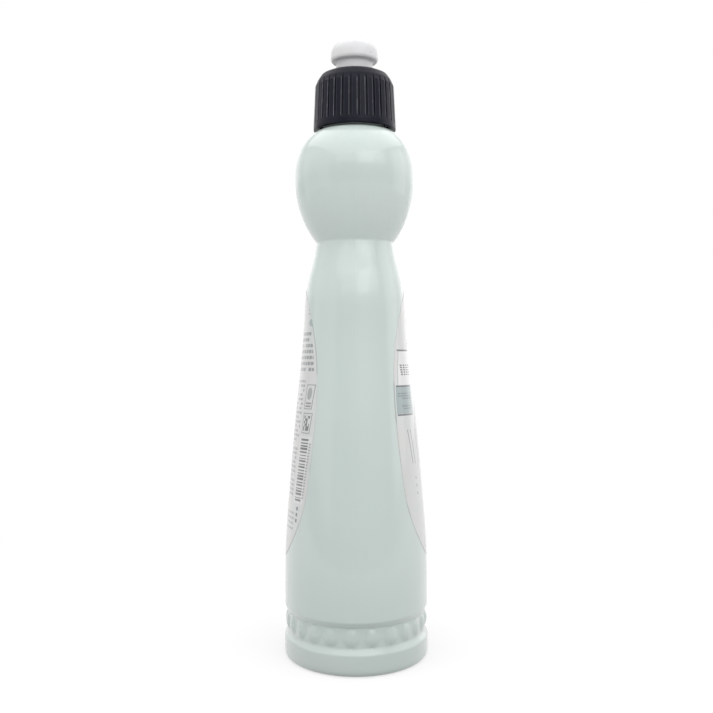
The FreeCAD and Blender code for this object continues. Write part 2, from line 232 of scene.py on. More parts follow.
@dataclass(frozen=True)
class Thread:
    """A helical ridge that fades in and out at its ends, in millimetres and turns."""

    start: float
    height: float
    fade: float
    crest: float
    root: float
    pitch: float = 4.2
    turns: float = 1.5

    def ridge(self, level: float, angles: np.ndarray) -> np.ndarray:
        """How far the ridge stands out at a level.

        Args:
            level: height, from where the thread's start is measured.
            angles: angles about the axis, from 0 to a full turn.

        Returns:
            The ridge's height at each angle.
        """
        best = np.zeros(len(angles))
        for lap in range(-1, math.ceil(self.turns) + 1):
            travelled = angles / FULL_TURN + lap
            middle = self.start + self.pitch * travelled
            ends = ease(travelled, 0.0, self.fade) * (1 - ease(travelled, self.turns - self.fade, self.turns))
            shape = 1 - ease(np.abs(level - middle), self.crest, self.root)
            best = np.maximum(best, shape * ends)
        return best * self.height


@dataclass
class RingStack:
    """A skin woven from rings of points, one above the other.

    Neighbouring rings have the same number of points, or one has twice as many as the other.
    """

    points: list[np.ndarray] = field(default_factory=list)
    faces: list[tuple[int, ...]] = field(default_factory=list)
    rings: list[tuple[int, int]] = field(default_factory=list)
    total: int = 0

    def add(self, ring: np.ndarray) -> None:
        """Adds a ring and weaves it to the one before.

        Args:
            ring: its points, one row each, in millimetres.
        """
        self.points.append(ring)
        self.rings.append((self.total, len(ring)))
        self.total += len(ring)
        if len(self.rings) > 1:
            self._weave(self.rings[-2], self.rings[-1])

    def cap_end(self, centre: Sequence[float], first: bool) -> None:
        """Closes an end of the stack with a fan of faces round a centre point.

        Args:
            centre: the point in the middle, in millimetres.
            first: whether it closes the first ring or the last.
        """
        start, count = self.rings[0 if first else -1]
        self.points.append(np.array([centre], float))
        for i in range(count):
            here, after = start + i, start + (i + 1) % count
            self.faces.append((self.total, after, here) if first else (self.total, here, after))
        self.total += 1

    def close_loop(self) -> None:
        """Weaves the last ring to the first, as in a tube bent into a circle."""
        self._weave(self.rings[-1], self.rings[0])

    def _weave(self, low: tuple[int, int], high: tuple[int, int]) -> None:
        """Makes the faces between two rings.

        Args:
            low: first index and count of the lower ring's points.
            high: the same of the upper ring.
        """
        (a, n), (b, m) = low, high
        if n == m:
            for i in range(n):
                j = (i + 1) % n
                self.faces.append((a + i, a + j, b + j, b + i))
        elif m == 2 * n:
            for i in range(n):
                j, k = (i + 1) % n, (2 * i + 2) % m
                self.faces.append((a + i, b + 2 * i + 1, b + 2 * i))
                self.faces.append((a + i, a + j, b + 2 * i + 1))
                self.faces.append((a + j, b + k, b + 2 * i + 1))
        else:
            for i in range(m):
                j, k = (i + 1) % m, (2 * i + 2) % n
                self.faces.append((a + 2 * i, a + 2 * i + 1, b + i))
                self.faces.append((a + 2 * i + 1, b + j, b + i))
                self.faces.append((a + 2 * i + 1, a + k, b + j))

    def piece(self, name: str, body: Body, slot: str, material: bpy.types.Material) -> bpy.types.Object:
        """Makes the stack into a piece that rides on a body.

        Args:
            name: the piece's name.
            body: the body that it moves with.
            slot: a material slot's name; not used.
            material: its finish.

        Returns:
            The new object.
        """
        return make_piece(name, np.concatenate(self.points), self.faces, body, material)


def make_piece(
    name: str,
    points: np.ndarray,
    faces: Sequence[tuple[int, ...]],
    body: Body,
    material: bpy.types.Material,
) -> bpy.types.Object:
    """Makes a mesh piece from points in millimetres and puts it on a body.

    Args:
        name: the piece's name.
        points: its points, in the row frame.
        faces: the point numbers of each face.
        body: the body that it moves with.
        material: its finish.

    Returns:
        The new object.
    """
    mesh = bpy.data.meshes.new(name)
    mesh.from_pydata((points * MM).tolist(), [], faces)
    mesh.validate()
    mesh.shade_smooth()
    mesh.set_sharp_from_angle(angle=SHARP_ANGLE)
    mesh.materials.append(material)
    piece = bpy.data.objects.new(name, mesh)
    bpy.context.scene.collection.objects.link(piece)
    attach(piece, body.value)
    LOG.info("%s: %d points, %d faces, on body %s", name, len(points), len(faces), body.value)
    return piece


# ------------------------------------------------------------------ shader arithmetic
class Wire:
    """A shader output that takes part in Python sums."""

    def __init__(self, board: "Board", socket: bpy.types.NodeSocket | None) -> None:
        """Keeps the socket and the board that it is on."""
        self.board = board
        self.socket = socket

    def math(self, operation: str, *values: Any) -> "Wire":
        """One Math node on these values."""
        return self.board.add("ShaderNodeMath", {"operation": operation}, dict(enumerate(values)))

    def __add__(self, other: Any) -> "Wire":
        """This plus another."""
        return self.math("ADD", self, other)

    def __radd__(self, other: Any) -> "Wire":
        """Another plus this."""
        return self.math("ADD", other, self)

    def __sub__(self, other: Any) -> "Wire":
        """This less another."""
        return self.math("SUBTRACT", self, other)

    def __rsub__(self, other: Any) -> "Wire":
        """Another less this."""
        return self.math("SUBTRACT", other, self)

    def __mul__(self, other: Any) -> "Wire":
        """This times another."""
        return self.math("MULTIPLY", self, other)

    def __rmul__(self, other: Any) -> "Wire":
        """Another times this."""
        return self.math("MULTIPLY", other, self)

    def __truediv__(self, other: Any) -> "Wire":
        """This over another."""
        return self.math("DIVIDE", self, other)

    def __rtruediv__(self, other: Any) -> "Wire":
        """Another over this."""
        return self.math("DIVIDE", other, self)

    def __lt__(self, other: Any) -> "Wire":
        """1 where this is less than another."""
        return self.math("LESS_THAN", self, other)

    def __gt__(self, other: Any) -> "Wire":
        """1 where this is more than another."""
        return self.math("GREATER_THAN", self, other)

    def __abs__(self) -> "Wire":
        """The size without the sign."""
        return self.math("ABSOLUTE", self)

    def floor(self) -> "Wire":
        """The whole number below."""
        return self.math("FLOOR", self)

    def fraction(self) -> "Wire":
        """What is over the whole number below."""
        return self.math("FRACT", self)

    def root(self) -> "Wire":
        """The square root."""
        return self.math("SQRT", self)

    def larger(self, other: Any) -> "Wire":
        """The larger of this and another."""
        return self.math("MAXIMUM", self, other)

    def ramp(self, low: float, high: float, start: float = 0.0, end: float = 1.0) -> "Wire":
        """A smooth change from one value to another.

        Args:
            low: where the change begins.
            high: where it is complete.
            start: the value below low.
            end: the value above high.

        Returns:
            The changing value.
        """
        settings = {"interpolation_type": "SMOOTHSTEP"}
        values = {"Value": self, "From Min": low, "From Max": high, "To Min": start, "To Max": end}
        return self.board.add("ShaderNodeMapRange", settings, values)


class Board:
    """The node tree of one material, and the one way that nodes get onto it."""

    def __init__(self, tree: bpy.types.NodeTree) -> None:
        """Takes over a node tree and empties it."""
        self.tree = tree
        tree.nodes.clear()

    def add(
        self,
        kind: str,
        settings: Mapping[str, Any] | None = None,
        inputs: Mapping[str | int, Any] | None = None,
        output: str | int = 0,
    ) -> Wire:
        """Adds a node.

        Args:
            kind: the node's type.
            settings: its properties, set first.
            inputs: a value or a wire for each socket that is set.
            output: which output is handed back.

        Returns:
            The wire from that output.
        """
        node = self.tree.nodes.new(kind)
        for name, value in (settings or {}).items():
            setattr(node, name, value)
        for name, value in (inputs or {}).items():
            if isinstance(value, Wire):
                self.tree.links.new(value.socket, node.inputs[name])
            else:
                node.inputs[name].default_value = value
        return Wire(self, node.outputs[output]) if node.outputs else Wire(self, None)

    def place(self) -> Wire:
        """Where the shaded point is in the object, in metres."""
        return self.add("ShaderNodeTexCoord", output="Object")

    def split(self, vector: Wire) -> tuple[Wire, ...]:
        """X, Y and Z of a vector."""
        return tuple(self.add("ShaderNodeSeparateXYZ", inputs={0: vector}, output=i) for i in range(3))

    def axes(self) -> tuple[Wire, ...]:
        """X, Y and Z of the shaded point, in millimetres."""
        inputs = {0: self.place(), "Scale": 1 / MM}
        return self.split(self.add("ShaderNodeVectorMath", {"operation": "SCALE"}, inputs))

    def ray(self, kind: str) -> Wire:
        """1 for rays of this kind, such as Camera or Glossy."""
        return self.add("ShaderNodeLightPath", output=f"Is {kind} Ray")

    def noise(self, per_mm: float, stretch: Sequence[float] = (1, 1, 1), detail: float = 3.0) -> Wire:
        """Soft noise from 0 to 1.

        Args:
            per_mm: how many features fit in a millimetre.
            stretch: how much finer it is along each axis.
            detail: how many finer layers it has.

        Returns:
            The noise.
        """
        spread = tuple(per_mm / MM * share for share in stretch)
        vector = self.add(
            "ShaderNodeVectorMath", {"operation": "MULTIPLY"}, {0: self.place(), 1: spread}
        )
        return self.add("ShaderNodeTexNoise", inputs={"Vector": vector, "Scale": 1.0, "Detail": detail})

    def dots(self, u: Wire, v: Wire) -> Wire:
        """A random number from 0 to 1 for each pair of whole numbers."""
        cell = self.add("ShaderNodeCombineXYZ", inputs={0: u, 1: v})
        return self.add("ShaderNodeTexWhiteNoise", {"noise_dimensions": "2D"}, {"Vector": cell})

    def blend(self, share: Any, first: Any, second: Any) -> Wire:
        """A colour between two.

        Args:
            share: 0 for the first, 1 for the second.
            first: a colour or a wire.
            second: a colour or a wire.

        Returns:
            The mixed colour.
        """
        pair = {6: self._four(first), 7: self._four(second)}
        return self.add("ShaderNodeMix", {"data_type": "RGBA"}, {0: share, **pair}, output=2)

    @staticmethod
    def _four(colour: Any) -> Any:
        """A colour with its alpha, or a wire as it is."""
        return colour if isinstance(colour, Wire) else (*colour, 1.0)

    def bump(self, height: Wire, depth_mm: float) -> Wire:
        """A normal bent by a height from 0 to 1 that is this many millimetres deep."""
        inputs = {"Strength": 1.0, "Distance": depth_mm * MM, "Height": height}
        return self.add("ShaderNodeBump", inputs=inputs)

    def finish(self, shader: Wire) -> None:
        """Sends a shader to the surface output."""
        self.add("ShaderNodeOutputMaterial", inputs={"Surface": shader})


def new_board(name: str) -> tuple[bpy.types.Material, Board]:
    """Makes a material that is worked out by nodes.

    Args:
        name: the material's name.

    Returns:
        The new material, and the board that its nodes go on.
    """
    material = bpy.data.materials.new(name)
    material.use_nodes = True
    return material, Board(material.node_tree)


# ------------------------------------------------------------------ finishes
class Finish:
    """A finish: its name, and what it sends to the sockets of a Principled surface."""

    name: str

    def inputs(self, board: Board) -> dict[str, Any]:
        """What each socket of the surface gets."""
        raise NotImplementedError

    def material(self) -> bpy.types.Material:
        """Builds the material.

        Returns:
            The new material.
        """
        material, board = new_board(self.name)
        board.finish(board.add("ShaderNodeBsdfPrincipled", inputs=self.inputs(board)))
        return material


@dataclass(frozen=True)
class BlownPlastic(Finish):
    """Pale mint-grey blow-moulded plastic.

    It has a faint haze, slight waves, scuffs low down and a fine line where the mould parted.
    """

    name: ClassVar[str] = "blown_plastic"
    colour: Colour = (0.530, 0.608, 0.583)
    haze: Colour = (0.558, 0.610, 0.594)
    scuff: Colour = (0.64, 0.68, 0.67)
    roughness: float = 0.318
    scuff_top_mm: float = 5.0
    parting_mm: float = 0.16
    pinch_mm: float = 0.9
    pinch_top_mm: float = 4.0
    relief_mm: float = 0.03

    def inputs(self, board: Board) -> dict[str, Any]:
        """Works out the haze, the scuffs and the mould line.

        Args:
            board: the board that the nodes go on.

        Returns:
            A value or a wire for each socket.
        """
        _, deep, height = board.axes()
        cloud = board.noise(0.035, detail=2.0).ramp(0.35, 0.68)
        flow = board.noise(0.5, (1, 1, 0.04), detail=2.0)
        grain = board.noise(6.0, detail=2.0)
        scratch = board.noise(0.8, (1, 1, 6), detail=4.0).ramp(0.62, 0.72)
        rubbed = height.ramp(0.2, self.scuff_top_mm, 1.0, 0.0) * scratch
        parting = abs(deep).ramp(0.0, self.parting_mm, 1.0, 0.0)
        pinch = abs(deep).ramp(self.pinch_mm * 0.6, self.pinch_mm, 1.0, 0.0)
        pinch = pinch * height.ramp(self.pinch_top_mm - 0.4, self.pinch_top_mm + 0.4, 1.0, 0.0)
        colour = board.blend(cloud * 0.35, self.colour, self.haze)
        colour = board.blend(rubbed * 0.4, colour, self.scuff)
        roughness = self.roughness + (flow - 0.5) * 0.05 + (cloud - 0.5) * 0.03 + rubbed * 0.2 + pinch * 0.1
        relief = flow * 0.10 + grain * 0.08 + parting * 0.8 + pinch
        return {
            "Base Color": colour,
            "Roughness": roughness,
            "IOR": 1.5,
            "Coat Weight": 0.7,
            "Coat Roughness": 0.07,
            "Normal": board.bump(relief, self.relief_mm),
        }


@dataclass(frozen=True)
class CapPlastic(Finish):
    """Blue-black moulded plastic, finely spark-textured, paler along the rib edges: partly wear, partly a
    painted highlight.

    Of a groove's two edges, one gets most of this painted highlight and the other only a share of it.
    """

    name: ClassVar[str] = "cap_plastic"
    rib_top: float
    ribs: int
    rib_length: float = 14.9
    colour: Colour = (0.0085, 0.0090, 0.0165)
    dusty: Colour = (0.014, 0.016, 0.024)
    # pale rib-edge colour: some wear, mostly a painted highlight
    wear_and_highlight: Colour = (0.170, 0.175, 0.195)
    roughness: float = 0.36
    skirt_coat: float = 0.07
    dome_coat: float = 0.05
    edge_share: float = 0.17  # from the groove's middle to the rib's edge, in ribs
    edge_rise: float = 0.06
    edge_fall: float = 0.08
    other_edge: float = 0.25  # how much of the painted highlight and wear a groove's other edge gets beside that one
    relief_mm: float = 0.012

    def flank(self, place: Wire) -> Wire:
        """1 along a rib's edge, for how far round from the groove's middle a place is."""
        inner, outer = self.edge_share, self.edge_share + 0.01
        return place.ramp(inner - self.edge_rise, inner) * place.ramp(outer, outer + self.edge_fall, 1.0, 0.0)

    def inputs(self, board: Board) -> dict[str, Any]:
        """Works out the dust, the paler rib edges (wear and painted highlight) and the grain.

        Args:
            board: the board that the nodes go on.

        Returns:
            A value or a wire for each socket.
        """
        across, deep, height = board.axes()
        turn = across.math("ARCTAN2", deep, across) * (self.ribs / FULL_TURN)
        past_groove = turn.fraction() - 0.5
        # Painted highlight, with some wear, along the rib edges, strongest on one edge of each groove.
        edge = self.flank(0.0 - past_groove) + self.flank(past_groove) * self.other_edge
        grain = board.noise(7.0, detail=3.0)
        dust = board.noise(0.12, (1, 1, 0.6), detail=5.0).ramp(0.42, 0.75)
        patchy = board.noise(0.4, detail=3.0).ramp(0.45, 0.65)
        colour = board.blend(dust * 0.55, self.colour, self.dusty)
        rib_foot = self.rib_top - self.rib_length
        ribbed = height.ramp(self.rib_top - 0.4, self.rib_top + 0.2, 1.0, 0.0)
        ribbed = ribbed * height.ramp(rib_foot, rib_foot + 0.4)
        colour = board.blend(edge * ribbed * (patchy * 0.35 + 0.50), colour, self.wear_and_highlight)
        roughness = self.roughness + (grain - 0.5) * 0.12 + dust * 0.10
        coat = height.ramp(self.rib_top - 0.6, self.rib_top + 0.7, self.skirt_coat, self.dome_coat)
        return {
            "Base Color": colour,
            "Roughness": roughness,
            "IOR": 1.47,
            "Specular IOR Level": 0.12,
            "Coat Weight": coat,
            "Coat Roughness": 0.30,
            "Normal": board.bump(grain, self.relief_mm),
        }


@dataclass(frozen=True)
class NozzlePlastic(Finish):
    """White moulded plastic with a soft gloss, faint smudges and fine turning marks."""

    name: ClassVar[str] = "nozzle_plastic"
    colour: Colour = (0.650, 0.652, 0.658)
    smudge: Colour = (0.605, 0.610, 0.617)
    roughness: float = 0.34
    relief_mm: float = 0.012

    def inputs(self, board: Board) -> dict[str, Any]:
        """Works out the smudges and the turning marks.

        Args:
            board: the board that the nodes go on.

        Returns:
            A value or a wire for each socket.
        """
        cloud = board.noise(0.22, detail=4.0).ramp(0.45, 0.75)
        grain = board.noise(5.0, detail=3.0)
        rings = board.noise(2.4, (0.04, 0.04, 1.0), detail=2.0)
        colour = board.blend(cloud * 0.5, self.colour, self.smudge)
        roughness = self.roughness + (grain - 0.5) * 0.10 + cloud * 0.08
        return {
            "Base Color": colour,
            "Roughness": roughness,
            "IOR": 1.49,
            "Normal": board.bump(grain * 0.6 + rings * 0.8, self.relief_mm),
        }


@dataclass(frozen=True)
class SealFoam(Finish):
    """Soft white sealing foam with closed cells and a pressed ring."""

    name: ClassVar[str] = "seal_foam"
    colour: Colour = (0.74, 0.74, 0.71)
    pressed: Colour = (0.60, 0.61, 0.59)
    pressed_at: float = 11.6
    cells_per_mm: float = 3.2
    roughness: float = 0.82
    relief_mm: float = 0.03

    def inputs(self, board: Board) -> dict[str, Any]:
        """Works out the cells and the ring that the neck has pressed in.

        Args:
            board: the board that the nodes go on.

        Returns:
            A value or a wire for each socket.
        """
        across, deep, _ = board.axes()
        reach = (across * across + deep * deep).root()
        mark = 1 - abs(reach - self.pressed_at).ramp(0.25, 0.55)
        grid = {"Vector": board.place(), "Scale": self.cells_per_mm / MM}
        cells = board.add("ShaderNodeTexVoronoi", inputs=grid, output="Distance")
        return {
            "Base Color": board.blend(mark * 0.8 + cells * 0.2, self.colour, self.pressed),
            "Roughness": self.roughness + cells * 0.12,
            "Normal": board.bump(cells - mark * 0.6, self.relief_mm),
        }


@dataclass
class Print:
    """Plain printed fields laid on a film, in millimetres.

    U is the place across, V the height, and inset how far in from the film's edge the place is.
    """

    board: Board
    u: Wire
    v: Wire
    inset: Wire
    colour: Wire

    def band(self, value: Wire, low: float, high: float) -> Wire:
        """1 where a value is between two others."""
        return abs(value - (low + high) / 2) < (high - low) / 2

    def box(self, left: float, right: float, bottom: float, top: float) -> Wire:
        """1 inside an upright box."""
        return self.band(self.u, left, right) * self.band(self.v, bottom, top)

    def disc(self, u: float, v: float, half_width: float, half_height: float) -> Wire:
        """1 inside an upright oval."""
        across, up = (self.u - u) / half_width, (self.v - v) / half_height
        return (across * across + up * up) < 1.0

    def ink(self, mask: Wire, colour: Colour, strength: float = 1.0) -> None:
        """Prints a colour where the mask is 1.

        Args:
            mask: 0 to 1 over the film.
            colour: the ink.
            strength: how solid the ink is.
        """
        share = mask * strength if strength < 1 else mask
        self.colour = self.board.blend(share, self.colour, colour)

    def rows(self, field_mask: Wire, bottom: float, pitch: float, fill: float, word: float) -> Wire:
        """Rows of plain bars broken into lengths like words.

        Args:
            field_mask: where the rows are printed.
            bottom: height of the lowest row.
            pitch: from row to row.
            fill: share of the pitch that a bar takes up.
            word: typical length of a bar.

        Returns:
            1 where there is a bar.
        """
        level = (self.v - bottom) / pitch
        row = level.floor()
        shift = self.board.dots(row, row * 0.37) * word
        place = (self.u + shift) / word
        shown = self.board.dots(place.floor(), row) > 0.16
        gap = place.fraction() < 0.84
        return field_mask * (level.fraction() < fill) * shown * gap

    def marks(self, field_mask: Wire, cell_u: float, cell_v: float, share: float) -> Wire:
        """Small blocks scattered on a grid, like close print seen from afar.

        Args:
            field_mask: where they are printed.
            cell_u: width of a cell.
            cell_v: height of a cell.
            share: how much of the field is printed.

        Returns:
            1 where there is ink.
        """
        chance = self.board.dots((self.u / cell_u).floor(), (self.v / cell_v).floor())
        return field_mask * (chance < share)

    def frame_line(self, left: float, right: float, bottom: float, top: float, width: float) -> Wire:
        """1 on the outline of a box."""
        outer = self.box(left, right, bottom, top)
        return outer - self.box(left + width, right - width, bottom + width, top - width)


@dataclass(frozen=True)
class LabelFilm(Finish):
    """Thin off-white film printed with plain fields, rules and bars.

    Its outline is two half ellipses: rise above the widest height and drop below it. The painted edge shadows
    are the stretches of its edge that stand off the wall, each as its two heights and how dark the painted
    shadow line along it is. The rest of the edge gets a faint painted shadow line.
    """

    side: Side
    half_width: float
    widest: float
    rise: float
    drop: float
    painted_edge_shadows: tuple[tuple[float, float, float], ...]
    film: Colour = (0.580, 0.602, 0.594)
    warm: Colour = (0.608, 0.597, 0.588)
    # colour of the painted shadow line along the cut edge
    edge: Colour = (0.36, 0.40, 0.39)
    dark: Colour = (0.105, 0.110, 0.118)
    grey: Colour = (0.27, 0.285, 0.29)
    teal: Colour = (0.315, 0.375, 0.382)
    deep_teal: Colour = (0.185, 0.225, 0.230)
    pale_teal: Colour = (0.50, 0.585, 0.575)
    green: Colour = (0.42, 0.56, 0.52)
    white: Colour = (0.70, 0.705, 0.70)

    # width, least strength and fade of the painted shadow line along the edge
    edge_width: float = 0.30
    edge_least: float = 0.03
    edge_fade: float = 3.0
    relief_mm: float = 0.03

    @property
    def name(self) -> str:
        """The material's name."""
        return self.side.film

    def inputs(self, board: Board) -> dict[str, Any]:
        """Prints on the film and paints a shadow line along the stretches of its edge that stand off the
        wall.

        Args:
            board: the board that the nodes go on.

        Returns:
            A value or a wire for each socket.
        """
        across, _, height = board.axes()
        u = across * float(-self.side.value)
        above = (height - self.widest).larger(0.0) / self.rise
        below = (self.widest - height).larger(0.0) / self.drop
        span = (1.0 - above * above - below * below).larger(0.0)
        inset = span.root() * self.half_width - abs(u)
        cloud = board.noise(0.05, detail=2.0).ramp(0.35, 0.7)
        sheet = Print(board, u, height, inset, board.blend(cloud, self.film, self.warm))
        if self.side is Side.FRONT:
            self._front(sheet)
        else:
            self._back(sheet)
        # Painted shadow line along the cut edge: darker where the edge stands off the wall, faint elsewhere.
        shadow = 0.0
        for low, high, strength in self.painted_edge_shadows:
            begins = height.ramp(low, low + self.edge_fade, 0.0, strength)
            shadow = shadow + begins * height.ramp(high - self.edge_fade, high, 1.0, 0.0)
        sheet.ink((inset < self.edge_width) * shadow.larger(self.edge_least), self.edge)
        grain = board.noise(3.5, detail=3.0)
        wave = board.noise(0.09, (1, 1, 0.4), detail=2.0)
        return {
            "Base Color": sheet.colour,
            "Roughness": 0.34 + (grain - 0.5) * 0.10 + cloud * 0.04,
            "IOR": 1.5,
            "Coat Weight": 0.7,
            "Coat Roughness": 0.06,
            "Normal": board.bump(grain * 0.15 + wave * 0.5, self.relief_mm),
        }

    def _front(self, sheet: Print) -> None:
        """Prints the front, where U runs from the label's left edge to its right as it is looked at.

        Args:
            sheet: the film that is printed on.
        """
        # A ruled white panel with columns of dashes.
        panel = sheet.band(sheet.v, 103.4, 116.2) * (sheet.u < -6.6)
        sheet.ink(panel * (sheet.inset > 1.75), self.white)
        sheet.ink(panel * sheet.band(sheet.inset, 1.55, 1.8), self.grey, 0.8)
        columns = ((sheet.u + 14.9) / 1.9).fraction() < 0.64
        dashes = ((sheet.v - 107.2) / 0.86).fraction() < 0.60
        sheet.ink(sheet.box(-14.9, -6.9, 107.2, 111.4) * columns * dashes, self.dark, 0.95)
        # A tinted block with rows of bars, and the rules above, between and below.
        block = sheet.band(sheet.v, 92.8, 103.2) * (sheet.inset > 0.65) * (sheet.u < -9.0)
        sheet.ink(block, self.teal)
        for low, high, left in ((98.3, 100.6, -18.4), (94.5, 96.4, -17.0)):
            bars = sheet.rows(sheet.box(left, -9.6, low, high), low, 0.9, 0.55, 1.5)
            sheet.ink(bars, self.deep_teal, 0.9)
        for rule, right in ((116.5, -6.6), (103.1, -8.6), (92.4, -9.2)):
            bar = sheet.band(sheet.v, rule - 0.32, rule + 0.32) * (sheet.inset > 0.8) * (sheet.u < right)
            sheet.ink(bar, self.dark, 0.92)
        # Leaning strokes with three small blocks below them.
        top, drop, lean, width = 86.8, 12.8, 1.1, 0.42
        for left in (-16.3, -14.2, -9.4, -7.3):
            slant = sheet.u - (top - sheet.v) * (lean / drop)
            stroke = sheet.band(slant, left, left + width) * sheet.band(sheet.v, top - drop, top)
            sheet.ink(stroke, self.dark, 0.75)
        for low in (62.4, 65.3, 68.2):
            sheet.ink(sheet.box(-14.0, -13.4, low, low + 1.0), self.dark, 0.8)
        # Pale ovals in the middle, a darker one near the top, and rows of bars.
        for disc, colour, strength in (
            ((5.5, 100, 10.5, 13.5), self.pale_teal, 0.55),
            ((1.5, 95, 5.4, 7.4), self.green, 0.45),
            ((9.6, 104, 4.4, 6.2), self.white, 0.70),
            ((4.5, 66, 9.5, 7.5), self.pale_teal, 0.50),
        ):
            sheet.ink(sheet.disc(*disc), colour, strength)
        sheet.ink(sheet.rows(sheet.box(-9, 9, 41.5, 46.5), 41.5, 1.7, 0.45, 3.4), self.grey, 0.55)
        sheet.ink(sheet.disc(0, 127.5, 5.6, 3.4), self.teal, 0.8)
        sheet.ink(sheet.rows(sheet.box(-6.5, 6.5, 119.0, 121.6), 119.0, 1.3, 0.5, 2.2), self.grey, 0.6)

    def _back(self, sheet: Print) -> None:
        """Prints the back: rows of bars, two ruled boxes and a strip of stripes.

        Args:
            sheet: the film that is printed on.
        """
        # A small oval and dots near the top, and the upper rows.
        sheet.ink(sheet.disc(12.4, 127.2, 1.9, 1.5), self.teal, 0.9)
        sheet.ink(sheet.marks(sheet.box(9.5, 12.8, 129.8, 135.0), 0.6, 0.7, 0.30), self.grey, 0.5)
        upper = sheet.box(-15.5, 17.0, 108.8, 124.4) * (sheet.inset > 1.3)
        sheet.ink(sheet.rows(upper, 108.8, 2.25, 0.56, 1.9), self.grey)
        # Two ruled boxes: an oval over two bars, and a patch of blocks.
        rule = 0.28
        sheet.ink(sheet.frame_line(14.2, 18.6, 94.6, 103.8, rule), self.dark, 0.75)
        sheet.ink(sheet.disc(16.4, 100.4, 1.2, 2.3), self.grey, 0.8)
        for low in (95.4, 96.5):
            sheet.ink(sheet.box(15.0, 17.9, low, low + 0.6), self.dark, 0.7)
        sheet.ink(sheet.frame_line(14.6, 19.4, 85.6, 93.2, rule), self.dark, 0.75)
        sheet.ink(sheet.marks(sheet.box(15.4, 18.6, 86.6, 92.2), 0.7, 0.95, 0.66), self.dark, 0.85)
        # A strip of plain stripes on a white ground, with dashes beside it.
        strip = sheet.box(15.2, 19.6, 60.2, 83.8)
        sheet.ink(sheet.box(14.0, 21.0, 59.4, 84.6), self.white, 0.5)
        stripe = sheet.v / 1.12
        stripes = stripe.fraction() < sheet.board.dots(stripe.floor(), stripe.floor() * 0.0) * 0.50 + 0.26
        sheet.ink(strip * stripes, self.dark, 0.9)
        dashes = (sheet.v / 1.1).fraction() < 0.62
        sheet.ink(sheet.box(20.1, 21.0, 61.6, 82.5) * dashes, self.grey, 0.75)
        # The column of rows, the lowest rows and three blocks.
        sheet.ink(sheet.rows(sheet.box(-16.5, 12.6, 62.0, 105.4), 62.0, 1.7, 0.56, 2.6), self.grey, 0.95)
        sheet.ink(sheet.rows(sheet.box(-14, 16.0, 49.5, 57.0), 49.5, 1.9, 0.46, 2.8), self.grey, 0.75)
        for low in (52.6, 54.8, 57.0):
            sheet.ink(sheet.box(17.2, 18.6, low, low + 1.3), self.dark, 0.85)


